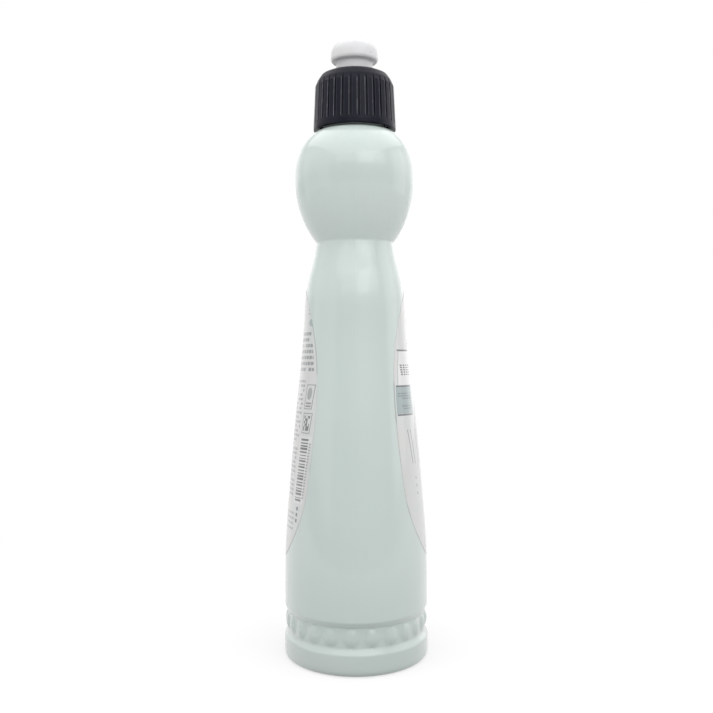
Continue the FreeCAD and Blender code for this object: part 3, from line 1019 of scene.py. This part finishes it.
# ------------------------------------------------------------------ bottle
@dataclass
class BlownBottle:
    """The one-piece blown bottle: oval foot, bead band, body, globe and threaded neck.

    Sizes are in millimetres. Radii are half depths, and heights are measured from the floor.
    """

    oval: float = 1.30  # width over depth of the foot and the lower body
    oval_ends: float = 36.0  # height above which the body turns round
    waist: Knot = (15.0, 158.4)
    wall: float = 0.9
    band_depth: float = 26.3
    band: tuple[float, float] = (10.0, 17.2)
    ledge: float = 7.9  # height of the foot's upper edge
    brim_rise: float = 2.1  # from the band up to the body's full depth
    body_depth: float = 27.5
    body_bottom: float = 21.0
    push_up: tuple[float, float] = (3.4, 4.3)  # height of the base's middle, outside and inside
    bead_count: int = 25
    bead_start: float = 0.25  # how far round the first bead is, in beads
    bead_sphere: float = 5.6  # radius of the sphere that a bead is the top of
    bead_rise: float = 1.0  # how far it stands out
    bead_blend: float = 0.22  # how softly it runs into the band
    bead_fade: float = 0.5
    neck_radius: float = 12.0
    neck_bore: float = 10.6
    thread: Thread = Thread(start=208.2, height=1.1, fade=0.06, crest=0.42, root=1.12)
    thread_from: float = 206.4
    lip_outside: float = 1.0  # from the plain lip's lower edge to the top
    lip_inside: float = 2.0  # the same inside the bore
    columns_per_bead: int = 10
    body_knots: tuple[Knot, ...] = (
        (27.5, 21.0), (27.4, 36.0), (25.9, 60.0), (22.9, 94.0),
        (19.8, 128.0), (18.15, 145.0), (15.95, 153.5), (15.0, 158.4),
    )
    globe_knots: tuple[Knot, ...] = (
        (15.0, 158.4), (18.7, 164.2), (21.6, 171.2), (23.2, 178.2), (23.5, 183.5),
        (22.9, 190.0), (21.0, 195.0), (18.3, 198.6), (15.8, 200.8),
    )

    def __post_init__(self) -> None:
        """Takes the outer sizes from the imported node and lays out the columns."""
        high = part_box("bottle")[1]
        self.foot_depth = high.y / MM
        self.top = high.z / MM
        self.body_line = smooth_through(self.body_knots, 2.0)
        self.angles, self.bead_phase = self._columns()

    def _columns(self) -> tuple[np.ndarray, np.ndarray]:
        """Lays out the columns of points, evenly spaced along the band's oval.

        Returns:
            The angle of each column, and how far it is through its bead.
        """
        fine = 2 * self.bead_count * self.columns_per_bead
        steps_round = 7200
        sweep = np.linspace(0, FULL_TURN, steps_round + 1)
        x, y = self.oval * np.cos(sweep), np.sin(sweep)
        along = np.concatenate([[0.0], np.cumsum(np.hypot(np.diff(x), np.diff(y)))])
        share = np.arange(fine) / fine
        self.bead_spacing = along[-1] * self.band_depth / self.bead_count
        through = (share * self.bead_count - self.bead_start + 0.5) % 1.0
        return np.interp(share * along[-1], along, sweep), through

    def oval_at(self, heights: np.ndarray) -> np.ndarray:
        """Width over depth at these heights."""
        climb = (self.waist[1] - heights) / (self.waist[1] - self.oval_ends)
        return 1.0 + (self.oval - 1.0) * np.clip(climb, 0, 1)

    def depth_at(self, heights: np.ndarray) -> np.ndarray:
        """Half depth of the body at these heights."""
        return np.interp(heights, self.body_line[:, 1], self.body_line[:, 0])

    def thinned(self, knots: Sequence[Knot]) -> list[Knot]:
        """Knots of the wall's inside, from those of its outside."""
        return [(radius - self.wall, height) for radius, height in knots]

    def outside(self) -> np.ndarray:
        """The outer line from the middle of the base up to the lip.

        Returns:
            The points of the line.
        """
        foot, band_depth, body, neck = self.foot_depth, self.band_depth, self.body_depth, self.neck_radius
        low, high = self.band
        top, lip_foot = self.top, self.top - self.lip_outside
        base = rounded([
            (0.4, self.push_up[0], 0), (12.5, 2.5, 20), (22.5, 0.4, 0.8), (23.2, 0.0, 0.6),
            (foot, 0.0, 3.0), (foot, self.ledge, 1.8), (band_depth, low, 0.6),
        ], 1.6)
        belt = cut_short(np.array([(band_depth, low), (band_depth, high)]), 0.34)
        brim = rounded([
            (band_depth, high, 0), (band_depth + 0.1, high + 0.1, 0.3),
            (body, high + self.brim_rise, 1.8), (body, self.body_bottom, 0),
        ], 0.5)
        globe = smooth_through(self.globe_knots, 1.3)
        collar = rounded([
            (*self.globe_knots[-1], 0), (14.1, 201.65, 1.2), (neck, 201.7, 0.4), (neck, 203.7, 0.3),
            (neck + 1.0, 204.2, 0.25), (neck + 1.0, 205.2, 0.25), (neck, 205.7, 0.3),
            (neck, self.thread_from, 0),
        ], 0.6)
        spiral = cut_short(np.array([(neck, self.thread_from), (neck, lip_foot)]), 0.22)
        lip = rounded([
            (neck, lip_foot, 0), (neck, top, 0.4), (self.neck_bore, top, 0.3),
            (self.neck_bore, top - self.lip_inside, 0),
        ], 0.6)
        line = joined(base, belt, brim, self.body_line, globe, collar, spiral, lip)
        return soften(line, self.waist, 0.55)

    def inside(self) -> np.ndarray:
        """The inner line from under the lip down to the middle of the base.

        Returns:
            The points of the line.
        """
        bore = rounded([
            (self.neck_bore, self.top - self.lip_inside, 0), (self.neck_bore, 201.9, 1.0),
            (13.1, 200.3, 1.0), (14.9, 199.9, 0),
        ], 4.0)
        globe = smooth_through(self.thinned(self.globe_knots), 3.0)[::-1]
        body = smooth_through(self.thinned(self.body_knots), 5.0)[::-1]
        depth, foot = self.band_depth - self.wall, self.foot_depth - self.wall
        base = rounded([
            (self.body_depth - self.wall, self.body_bottom, 0), (depth, 18.9, 0.5), (depth, 10.6, 0.5),
            (foot, 8.0, 1.0), (foot, 4.2, 2.0), (self.foot_depth - 3.4, 1.25, 1.5), (22.6, 1.25, 0.5),
            (12.5, 3.4, 20), (0.6, self.push_up[1], 0),
        ], 3.0)
        return joined(bore, globe, body, base)

    def ring(self, radius: float, height: float, every: int) -> np.ndarray:
        """One ring of the skin.

        Args:
            radius: its half depth.
            height: its height.
            every: how many columns lie from one of its points to the next.

        Returns:
            Its points, one per row.
        """
        angles = self.angles[::every]
        ratio = float(self.oval_at(np.array(height)))
        return np.stack(
            [ratio * radius * np.cos(angles), radius * np.sin(angles), np.full(len(angles), height)], 1
        )

    def bead_lift(self, height: float) -> np.ndarray:
        """How far the beads stand out of the band: the tops of spheres set in it.

        Args:
            height: height of the ring.

        Returns:
            The distance at each column.
        """
        low, high = self.band
        along = (self.bead_phase - 0.5) * self.bead_spacing
        up = height - (low + high) / 2
        reach = np.clip(self.bead_sphere**2 - along**2 - up**2, 0, None)
        cap = np.sqrt(reach) - (self.bead_sphere - self.bead_rise)
        lift = 0.5 * (cap + np.sqrt(cap**2 + self.bead_blend**2))
        level = np.array(height)
        fade_out = ease(level, high - self.bead_fade, high)
        return lift * (ease(level, low, low + self.bead_fade) * (1 - fade_out))

    def build(self, material: bpy.types.Material) -> bpy.types.Object:
        """Weaves the skin, outside and inside, as one closed piece.

        Args:
            material: its finish.

        Returns:
            The new piece.
        """
        stack = RingStack()
        low, high = self.band
        thread_top = self.top - self.lip_outside
        for radius, height in self.outside():
            in_band = low - SAME < height < high + SAME and radius < self.band_depth + SAME
            ring = self.ring(radius, height, 1 if in_band else 2)
            if in_band:
                outward = np.stack([np.cos(self.angles) / self.oval, np.sin(self.angles)], 1)
                outward /= np.linalg.norm(outward, axis=1)[:, None]
                ring[:, :2] += outward * self.bead_lift(height)[:, None]
            elif radius <= self.neck_radius + SAME and self.thread_from < height < thread_top:
                out = self.thread.ridge(height, self.angles[::2]) / self.neck_radius
                ring[:, :2] *= 1 + out[:, None]
            stack.add(ring)
        for radius, height in self.inside()[1:]:
            stack.add(self.ring(radius, height, 4))
        for height, first in zip(self.push_up, (True, False)):
            stack.cap_end((0, 0, height), first)
        skin = stack.piece("bottle_skin", Body.BOTTLE, "bottle_plastic", material)
        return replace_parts(skin, "bottle")


@dataclass
class FilmLabel:
    """A thin film on one wide face of the body, egg-shaped, with a cut edge."""

    bottle: BlownBottle
    side: Side
    # stretches of the edge that get a painted shadow line: two heights and its darkness
    painted_edge_shadows: tuple[tuple[float, float, float], ...]
    lower_share: float = 0.249
    inner_lift: float = 0.02  # how far the film's inner face is off the skin
    outer_lift: float = 0.12
    across: int = 56
    rows: int = 110

    def __post_init__(self) -> None:
        """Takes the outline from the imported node."""
        low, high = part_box(self.side.node)
        self.half_width = high.x / MM
        self.bottom, self.top = low.z / MM, high.z / MM
        self.widest = self.bottom + (self.top - self.bottom) * self.lower_share

    def finish(self) -> LabelFilm:
        """The printed finish that belongs to this label."""
        rise, drop = self.top - self.widest, self.widest - self.bottom
        return LabelFilm(self.side, self.half_width, self.widest, rise, drop, self.painted_edge_shadows)

    def surface(self, u: np.ndarray, heights: np.ndarray, lift: float) -> np.ndarray:
        """Points on the body's wide face, lifted off it.

        Args:
            u: how far across, in millimetres.
            heights: heights of the points.
            lift: distance off the skin.

        Returns:
            One point per row.
        """
        depth = self.bottle.depth_at(heights) + lift
        width = depth * self.bottle.oval_at(heights)
        y = self.side.value * depth * np.sqrt(np.clip(1 - (u / width) ** 2, 0, 1))
        return np.stack([u, y, heights], 1)

    def points(self) -> np.ndarray:
        """The points of the outer and then the inner face.

        Returns:
            For each face its rows from the bottom up, and then its lowest and its highest point.
        """
        phase = np.linspace(-math.pi / 2, math.pi / 2, self.rows + 1)[1:-1]
        tall = np.where(phase > 0, self.top - self.widest, self.widest - self.bottom)
        heights = self.widest + tall * np.sin(phase)
        halves = self.half_width * np.cos(phase)
        spread = np.sin(np.linspace(-math.pi / 2, math.pi / 2, self.across + 1))
        spread = 0.5 * spread + 0.5 * np.linspace(-1, 1, self.across + 1)
        points: list[np.ndarray] = []
        for lift in (self.outer_lift, self.inner_lift):
            for half, height in zip(halves, heights):
                points.append(self.surface(half * spread, np.full(len(spread), height), lift))
            points.append(self.surface(np.zeros(2), np.array([self.bottom, self.top]), lift))
        return np.concatenate(points)

    def faces(self) -> list[tuple[int, ...]]:
        """Weaves the two faces and the cut edge between them.

        Returns:
            The point numbers of each face of the mesh.
        """
        wide, count = self.across + 1, self.rows - 1
        sheet = wide * count + 2
        faces: list[tuple[int, ...]] = []
        turned = self.side is Side.BACK
        for first, flip in ((0, turned), (sheet, not turned)):
            lowest, highest = first + sheet - 2, first + sheet - 1
            made: list[tuple[int, ...]] = []
            for row in range(count - 1):
                a, b = first + row * wide, first + (row + 1) * wide
                made.extend((a + i, a + i + 1, b + i + 1, b + i) for i in range(self.across))
            last = first + (count - 1) * wide
            made.extend((lowest, first + i + 1, first + i) for i in range(self.across))
            made.extend((highest, last + i, last + i + 1) for i in range(self.across))
            faces.extend(face[::-1] if flip else face for face in made)
        rim = [sheet - 2] + [row * wide + self.across for row in range(count)] + [sheet - 1]
        rim += [row * wide for row in reversed(range(count))]
        for here, after in zip(rim, rim[1:] + rim[:1]):
            face = (here, here + sheet, after + sheet, after)
            faces.append(face[::-1] if turned else face)
        return faces

    def build(self) -> bpy.types.Object:
        """Makes the film: an outer face, an inner face and the cut edge between them.

        Returns:
            The new piece.
        """
        film, material = self.side.film, self.finish().material()
        label = make_piece(film, self.points(), self.faces(), Body.BOTTLE, material)
        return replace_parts(label, self.side.node)


# ------------------------------------------------------------------ cap
@dataclass
class ScrewCap:
    """The ribbed screw cap with its thread, plug ring, chimney and closing pin.

    Sizes are in millimetres, and heights are measured from the cap's lower edge.
    """

    ribs: int = 32
    rib_circle: float = 15.5  # radius that the ribs are spaced on
    rib_top: float = 17.3
    groove_start: float = 0.5  # how far round the first groove is, in ribs
    # Columns of points from a groove's middle towards the middle of the rib beside it.
    rib_offsets: tuple[float, ...] = (0.0, 0.14, 0.225, 0.30, 0.38, 0.475, 0.60, 0.80, 1.05, 1.28)
    groove_floor: float = 0.20
    groove_edge: float = 0.50
    groove_depth: float = 0.6
    groove_bottom: float = 2.4
    fluted_from: float = 13.9  # radius above which the outside follows the grooves
    rim_height: float = 1.7
    rim_edge: float = 0.9
    skirt: tuple[Knot, Knot] = ((15.95, 2.05), (15.25, 16.9))  # its lower and its upper edge
    plateau: float = 22.3
    ceiling: float = 16.7
    bore: float = 13.4
    thread: Thread = Thread(start=4.4, height=1.05, fade=0.05, crest=0.36, root=0.95)
    thread_zone: tuple[float, float] = (2.4, 14.0)
    chimney: float = 5.6
    chimney_bore: float = 4.4
    pin_radius: float = 1.55
    pin_bottom: float = 30.5
    pin_columns: int = 48
    spokes: int = 3
    spoke_size: tuple[float, float] = (1.0, 1.2)  # width and height
    spoke_rounding: float = 0.14
    spoke_sinks: tuple[float, float] = (0.3, 0.2)  # depth in the pin and in the chimney's wall

    def __post_init__(self) -> None:
        """Takes the cap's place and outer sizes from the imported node."""
        low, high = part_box("screw_cap")
        self.bottom = low.z / MM
        self.rim = high.x / MM
        self.pin_top = high.z / MM
        period = FULL_TURN * self.rib_circle / self.ribs
        half = list(self.rib_offsets)
        steps = np.array(half + [period / 2] + [period - offset for offset in reversed(half[1:])])
        starts = (np.arange(self.ribs)[:, None] + self.groove_start) * period
        self.angles = ((starts + steps[None, :]) / self.rib_circle).ravel()
        self.from_groove = np.tile(np.minimum(steps, period - steps), self.ribs)

    def finish(self) -> CapPlastic:
        """The finish that belongs to this cap's ribs."""
        return CapPlastic(self.bottom + self.rib_top, self.ribs)

    def raised(self, corners: Sequence[Corner]) -> list[Corner]:
        """Corners measured from the cap's rim, lifted to where the cap sits."""
        return [(radius, self.bottom + height, rounding) for radius, height, rounding in corners]

    def outside(self) -> np.ndarray:
        """The outer line from the rim's lower edge to the foot of the chimney.

        Returns:
            The points of the line.
        """
        (wide, low), (narrow, high) = self.skirt
        return rounded(self.raised([
            (self.rim - self.rim_edge, 0.0, 0), (self.rim, 0.0, 0.12), (self.rim, self.rim_height, 0.1),
            (wide, low, 0.1), (narrow, high, 0.18), (14.84, 17.8, 0.2),
            (14.3, 19.1, 1.6), (12.8, 21.3, 1.6), (10.6, 22.25, 1.0), (9.6, self.plateau, 0.6),
            (self.chimney + 0.4, self.plateau, 0),
        ]), 0.8)

    def chimney_line(self) -> np.ndarray:
        """From the plateau up the chimney, over its top, down its bore and under the roof.

        Returns:
            The points of the line.
        """
        out, bore, ring = self.chimney, self.chimney_bore, self.chimney + 0.25
        return rounded(self.raised([
            (out + 0.4, self.plateau, 0), (out, self.plateau, 0.15), (out, 30.1, 0.1), (ring, 30.4, 0.1),
            (ring, 30.8, 0.1), (out, 31.0, 0.1), (out - 0.3, 31.9, 0.2), (bore, 31.9, 0.2),
            (bore, 20.9, 0.3), (7.6, 20.9, 0.3), (9.6, 18.9, 0.4), (9.6, 13.7, 0.2), (9.9, 13.1, 0.15),
            (10.2, 13.1, 0.15), (10.5, 14.0, 0.2), (10.5, self.ceiling, 0.2), (12.6, self.ceiling, 0),
        ]), 1.5)

    def bore_line(self) -> np.ndarray:
        """From the ceiling down the threaded bore to the rim's lower edge.

        Returns:
            The points of the line.
        """
        bore, (low, high) = self.bore, self.thread_zone
        upper = [(12.6, self.ceiling, 0), (bore, self.ceiling, 0.3), (bore, high, 0)]
        spiral = np.array([(bore, self.bottom + high), (bore, self.bottom + low)])
        lower = [(bore, low, 0), (bore, 0.8, 0.2), (bore + 0.8, 0.0, 0.2), (self.rim - self.rim_edge, 0.0, 0)]
        return joined(
            rounded(self.raised(upper), 1.0), cut_short(spiral, 0.26), rounded(self.raised(lower), 0.8)
        )

    def groove_cut(self, radius: float, height: float) -> np.ndarray:
        """How deep the grip grooves are at a place on the outside.

        Args:
            radius: the outside's radius there.
            height: its height.

        Returns:
            The depth at each column.
        """
        (wide, low), (narrow, high) = self.skirt
        up = height - self.bottom
        floor = wide - self.groove_depth - (wide - narrow) / (high - low) * (up - low)
        start = ease(np.array(up), self.groove_bottom - 0.15, self.groove_bottom + 0.15)
        shape = 1 - ease(self.from_groove, self.groove_floor, self.groove_edge)
        return max(0.0, radius - floor) * float(start) * shape

    def build(self) -> bpy.types.Object:
        """Weaves the shell as one closed piece, and puts the pin with its spokes in it.

        Returns:
            The shell.
        """
        material = self.finish().material()
        stack = RingStack()
        for radius, height in self.outside():
            fluted = radius > self.fluted_from
            reach = radius - self.groove_cut(radius, height) if fluted else radius
            stack.add(round_ring(reach, self.angles[:: 1 if fluted else 2], height))
        for radius, height in self.chimney_line()[1:-1]:
            stack.add(round_ring(radius, self.angles[::4], height))
        angles = self.angles[::2]
        low, high = self.thread_zone
        for radius, height in self.bore_line()[:-1]:
            inward = 0.0
            if abs(radius - self.bore) < SAME and low < height - self.bottom < high:
                inward = self.thread.ridge(height - self.bottom, angles % FULL_TURN)
            stack.add(round_ring(radius - inward, angles, height))
        stack.close_loop()
        shell = stack.piece("cap_shell", Body.CAP, "cap_plastic", material)
        self.pin(material)
        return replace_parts(shell, "screw_cap")

    def pin(self, material: bpy.types.Material) -> bpy.types.Object:
        """Makes the pin that shuts the outlet, with the spokes that hold it in the chimney.

        Args:
            material: its finish.

        Returns:
            The new piece.
        """
        base, top, radius = self.bottom + self.pin_bottom, self.pin_top, self.pin_radius
        line = rounded([
            (0.2, base, 0), (radius, base, 0.2), (radius, top - 0.5, 0.15), (radius - 0.35, top, 0.15),
            (0.2, top, 0),
        ], 0.8)
        angles = np.linspace(0, FULL_TURN, self.pin_columns, endpoint=False)
        stack = RingStack()
        for reach, height in line:
            stack.add(round_ring(reach, angles, height))
        stack.cap_end((0, 0, base), first=True)
        stack.cap_end((0, 0, top), first=False)
        for index in range(self.spokes):
            block, sides = self.spoke(FULL_TURN * index / self.spokes, base)
            stack.points.append(block)
            stack.faces.extend(tuple(stack.total + i for i in side) for side in sides)
            stack.total += len(block)
        return stack.piece("spout_pin", Body.CAP, "cap_plastic", material)

    def spoke(self, turn: float, base: float) -> tuple[np.ndarray, list[tuple[int, ...]]]:
        """One spoke: a bar with rounded long edges.

        Args:
            turn: the angle that it points at.
            base: height of its underside.

        Returns:
            Its points and faces.
        """
        along = np.array((math.cos(turn), math.sin(turn), 0))
        aside = np.array((-math.sin(turn), math.cos(turn), 0))
        up = np.array((0, 0, 1.0))
        half, rounding, top = self.spoke_size[0] / 2, self.spoke_rounding, base + self.spoke_size[1]
        section = [
            (-half, base + rounding), (-half + rounding, base),
            (half - rounding, base), (half, base + rounding),
            (half, top - rounding), (half - rounding, top),
            (-half + rounding, top), (-half, top - rounding),
        ]
        near, far = self.pin_radius - self.spoke_sinks[0], self.chimney_bore + self.spoke_sinks[1]
        block = np.array([along * reach + aside * x + up * z for reach in (near, far) for x, z in section])
        count = len(section)
        sides = [(i, (i + 1) % count, count + (i + 1) % count, count + i) for i in range(count)]
        return block, [*sides, tuple(reversed(range(count))), tuple(range(count, 2 * count))]


# ------------------------------------------------------------------ nozzle and liner
@dataclass
class PullNozzle:
    """The mushroom-shaped nozzle that slides on the chimney.

    Sizes are in millimetres, and heights are measured from the nozzle's lower edge.
    """

    columns: int = 288
    neck: float = 7.2
    outlet: float = 1.65
    lip: float = 5.7
    bore: float = 6.0
    gate_angle: float = math.radians(221)
    gate_height: float = 5.8
    gate_radius: float = 0.5
    gate_floor: float = 0.15
    gate_depth: float = 0.22

    def __post_init__(self) -> None:
        """Takes the nozzle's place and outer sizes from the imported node."""
        low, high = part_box("pull_nozzle")
        self.bottom, self.top = low.z / MM, high.z / MM
        self.rim = high.x / MM

    def line(self) -> np.ndarray:
        """The closed line of the nozzle's wall, from its lower edge round to it again.

        Returns:
            The points of the line.
        """
        b, rim, neck = self.bottom, self.rim, self.neck
        edge, under, crown = (self.lip + 0.3, b), (rim - 0.55, b + 4.15), (2.4, b + 12.74)
        outer = rounded([
            (*edge, 0), (neck, b, 0.2), (neck - 0.1, b + 3.75, 0.35), (neck + 0.6, b + 4.12, 0.3),
            (*under, 0),
        ], 0.7)
        dome = smooth_through([
            under, (rim - 0.12, b + 4.75), (rim, b + 5.9), (rim - 0.36, b + 8.5),
            (rim - 1.57, b + 10.5), (4.9, b + 12.0), crown,
        ], 0.22)
        inner = rounded([
            (*crown, 0), (self.outlet + 0.25, self.top - 0.05, 0.2), (self.outlet, self.top - 0.4, 0.15),
            (self.outlet, b + 10.2, 0.15), (self.bore, b + 10.2, 0.4), (self.bore, b + 2.2, 0.2),
            (self.lip, b + 1.7, 0.15), (self.lip, b + 0.6, 0.15), (*edge, 0),
        ], 0.9)
        return joined(outer, dome, inner)

    def build(self, material: bpy.types.Material) -> bpy.types.Object:
        """Spins the wall and presses the gate mark into it.

        Args:
            material: its finish.

        Returns:
            The new piece.
        """
        angles = np.linspace(0, FULL_TURN, self.columns, endpoint=False)
        aside = (angles - self.gate_angle + math.pi) % FULL_TURN - math.pi
        stack = RingStack()
        for radius, height in self.line()[:-1]:
            reach = np.full(self.columns, radius)
            if radius > self.neck + 0.5:
                distance = np.hypot(aside * radius, height - self.bottom - self.gate_height)
                reach = reach - self.gate_depth * (1 - ease(distance, self.gate_floor, self.gate_radius))
            stack.add(round_ring(reach, angles, height))
        stack.close_loop()
        nozzle = stack.piece("nozzle_knob", Body.NOZZLE, "nozzle_plastic", material)
        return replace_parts(nozzle, "pull_nozzle")


def dress_liner(material: bpy.types.Material) -> None:
    """Gives the CAD liner its finish.

    Args:
        material: the finish.
    """
    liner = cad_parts["cap_liner"]
    if not liner.material_slots:
        liner.data.materials.append(material)
    liner.material_slots[0].link = "OBJECT"
    liner.material_slots[0].material = material
    LOG.info("cap_liner: CAD node with its foam finish, on body %s", Body.LINER.value)


# ------------------------------------------------------------------ studio
@dataclass(frozen=True)
class SoftBox:
    """A soft area lamp."""

    name: str
    place: tuple[float, float, float]
    aim: tuple[float, float, float]
    size: tuple[float, float]
    watts: float

    def build(self) -> None:
        """Hangs the lamp and turns it to its aim."""
        lamp = bpy.data.lights.new(self.name, "AREA")
        lamp.shape = "RECTANGLE"
        lamp.size, lamp.size_y = self.size
        lamp.energy = self.watts
        holder = bpy.data.objects.new(self.name, lamp)
        holder.location = self.place
        way = Vector(self.aim) - Vector(self.place)
        holder.rotation_euler = way.to_track_quat("-Z", "Y").to_euler()
        holder.visible_camera = False
        bpy.context.scene.collection.objects.link(holder)
        LOG.info("lamp %s: %.2f W", self.name, self.watts)


@dataclass(frozen=True)
class Studio:
    """White sweep, soft lamps, world and camera.

    Lengths are in metres, but the lens and the two reaches on the floor's paper are in millimetres.
    """

    lamps: tuple[SoftBox, ...] = (
        SoftBox("top_box", (-0.10, 0.0, 0.60), (-0.10, 0.0, 0.0), (1.06, 1.0), 4.35),
        SoftBox("front_box", (-0.70, 0.0, 0.535), (0.0, 0.0, 0.19), (1.0, 0.24), 0.74),
        SoftBox("window_box", (-0.63, -0.41, 0.55), (0.0, 0.0, 0.185), (0.76, 0.27), 0.85),
        SoftBox("right_box", (0.05, -0.70, 0.35), (0.0, 0.0, 0.12), (0.44, 0.52), 0.60),
        SoftBox("left_box", (-0.12, 0.62, 0.36), (0.0, 0.0, 0.12), (0.80, 0.50), 0.66),
    )
    distance: float = 0.390
    eye_height: float = 0.1117
    lens: float = 50.49
    shift: tuple[float, float] = (0.0015, 0.0095)
    roll: float = math.radians(-0.19)
    clip: tuple[float, float] = (0.01, 20.0)
    floor_half: float = 6.0
    world_level: float = 0.505
    # How bright reflections see the parts of the world.
    front_level: float = 0.30
    left_level: float = 0.72
    rim_level: float = 0.55
    high_level: float = 0.40
    wall_level: float = 0.28
    wall_lean: float = 0.093
    # The floor's paper and its own glow. Near the bottle the paper is darker for bounced light only, a
    # painted shade that dims the bottle's foot.
    paper: float = 0.70
    painted_shade_paper: float = 0.42
    shaded_paper: float = 0.30
    near_glow: float = 0.66
    glow_reach: tuple[float, float] = (110.0, 330.0)
    bounce_reach: tuple[float, float] = (50.0, 130.0)

    def build(self) -> None:
        """Sets everything up."""
        self.floor()
        self.world()
        for lamp in self.lamps:
            lamp.build()
        self.camera()
        bpy.context.scene.view_settings.view_transform = "Standard"

    def floor(self) -> None:
        """A plain white floor that keeps the object's shadow and runs out into white.

        For bounced light its paper is darker near the bottle, a painted shade on the bottle's foot.
        """
        half = self.floor_half
        mesh = bpy.data.meshes.new("floor")
        corners = [(-half, -half, 0), (half, -half, 0), (half, half, 0), (-half, half, 0)]
        mesh.from_pydata(corners, [], [(0, 1, 2, 3)])
        material, board = new_board("floor_paper")
        across, deep, _ = board.axes()
        radius = (across * across + deep * deep).root()
        away = radius.ramp(*self.glow_reach)
        # Painted shade: bounced light sees darker paper near the bottle.
        shaded_bounce_paper = radius.ramp(*self.bounce_reach, self.painted_shade_paper, self.paper)
        seen = board.ray("Camera").larger(board.ray("Glossy")).larger(board.ray("Transmission"))
        albedo = seen * (self.shaded_paper * (1 - away)) + (1 - seen) * shaded_bounce_paper
        colour = board.blend(albedo, (0, 0, 0), (1, 1, 1))
        paper = board.add("ShaderNodeBsdfDiffuse", inputs={"Color": colour})
        level = self.near_glow + away * (1 - self.near_glow)
        glow = board.add("ShaderNodeEmission", inputs={"Strength": seen * level})
        board.finish(board.add("ShaderNodeAddShader", inputs={0: paper, 1: glow}))
        mesh.materials.append(material)
        floor = bpy.data.objects.new("floor", mesh)
        bpy.context.scene.collection.objects.link(floor)

    def world(self) -> None:
        """White where it is looked at, plain where it lights, and dim behind the camera in reflections."""
        world = bpy.data.worlds.new("studio")
        bpy.context.scene.world = world
        world.use_nodes = True
        board = Board(world.node_tree)
        ahead, aside, above = board.split(board.add("ShaderNodeTexCoord", output="Generated"))
        straight = board.ray("Camera").larger(board.ray("Transmission"))
        mirrored = board.ray("Glossy")
        front = ahead.ramp(-0.2, 0.7, self.front_level, 1.0) + ahead.ramp(0.58, 0.76, 0.0, self.rim_level)
        sides = aside.ramp(-0.3, 0.3, 1.0, self.left_level)
        wall = (above + ahead * self.wall_lean).ramp(0.190, 0.215, 0.0, self.wall_level)
        in_mirror = (front * sides + wall) * above.ramp(0.33, 0.60, 1.0, self.high_level)
        unseen = mirrored * in_mirror + (1 - mirrored) * self.world_level
        level = straight + (1 - straight) * unseen
        glow = board.add("ShaderNodeBackground", inputs={"Color": (1, 1, 1, 1), "Strength": level})
        board.add("ShaderNodeOutputWorld", inputs={"Surface": glow})

    def camera(self) -> None:
        """A level camera facing the bottle's narrow side."""
        data = bpy.data.cameras.new("camera")
        data.lens = self.lens
        data.shift_x, data.shift_y = self.shift
        data.clip_start, data.clip_end = self.clip
        camera = bpy.data.objects.new("camera", data)
        camera.location = (-self.distance, 0.0, self.eye_height)
        turn = Euler((math.pi / 2, 0.0, -math.pi / 2)).to_matrix() @ Euler((0, 0, self.roll)).to_matrix()
        camera.rotation_euler = turn.to_euler()
        bpy.context.scene.collection.objects.link(camera)
        bpy.context.scene.camera = camera


def main() -> None:
    """Builds the bottle from its foot to its nozzle, then the studio round it."""
    logging.basicConfig(level=logging.INFO, format="%(name)s: %(message)s")
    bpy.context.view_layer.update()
    bottle = BlownBottle()
    bottle.build(BlownPlastic().material())
    # Each label gets painted shadow lines along the given stretches of its edge.
    FilmLabel(bottle, Side.FRONT, painted_edge_shadows=((88.0, 106.0, 0.7), (54.0, 61.0, 0.5))).build()
    FilmLabel(bottle, Side.BACK, painted_edge_shadows=((106.0, 129.0, 0.7), (70.0, 76.0, 0.3))).build()
    dress_liner(SealFoam().material())
    ScrewCap().build()
    PullNozzle().build(NozzlePlastic().material())
    Studio().build()


if __name__ == "__main__":
    main()
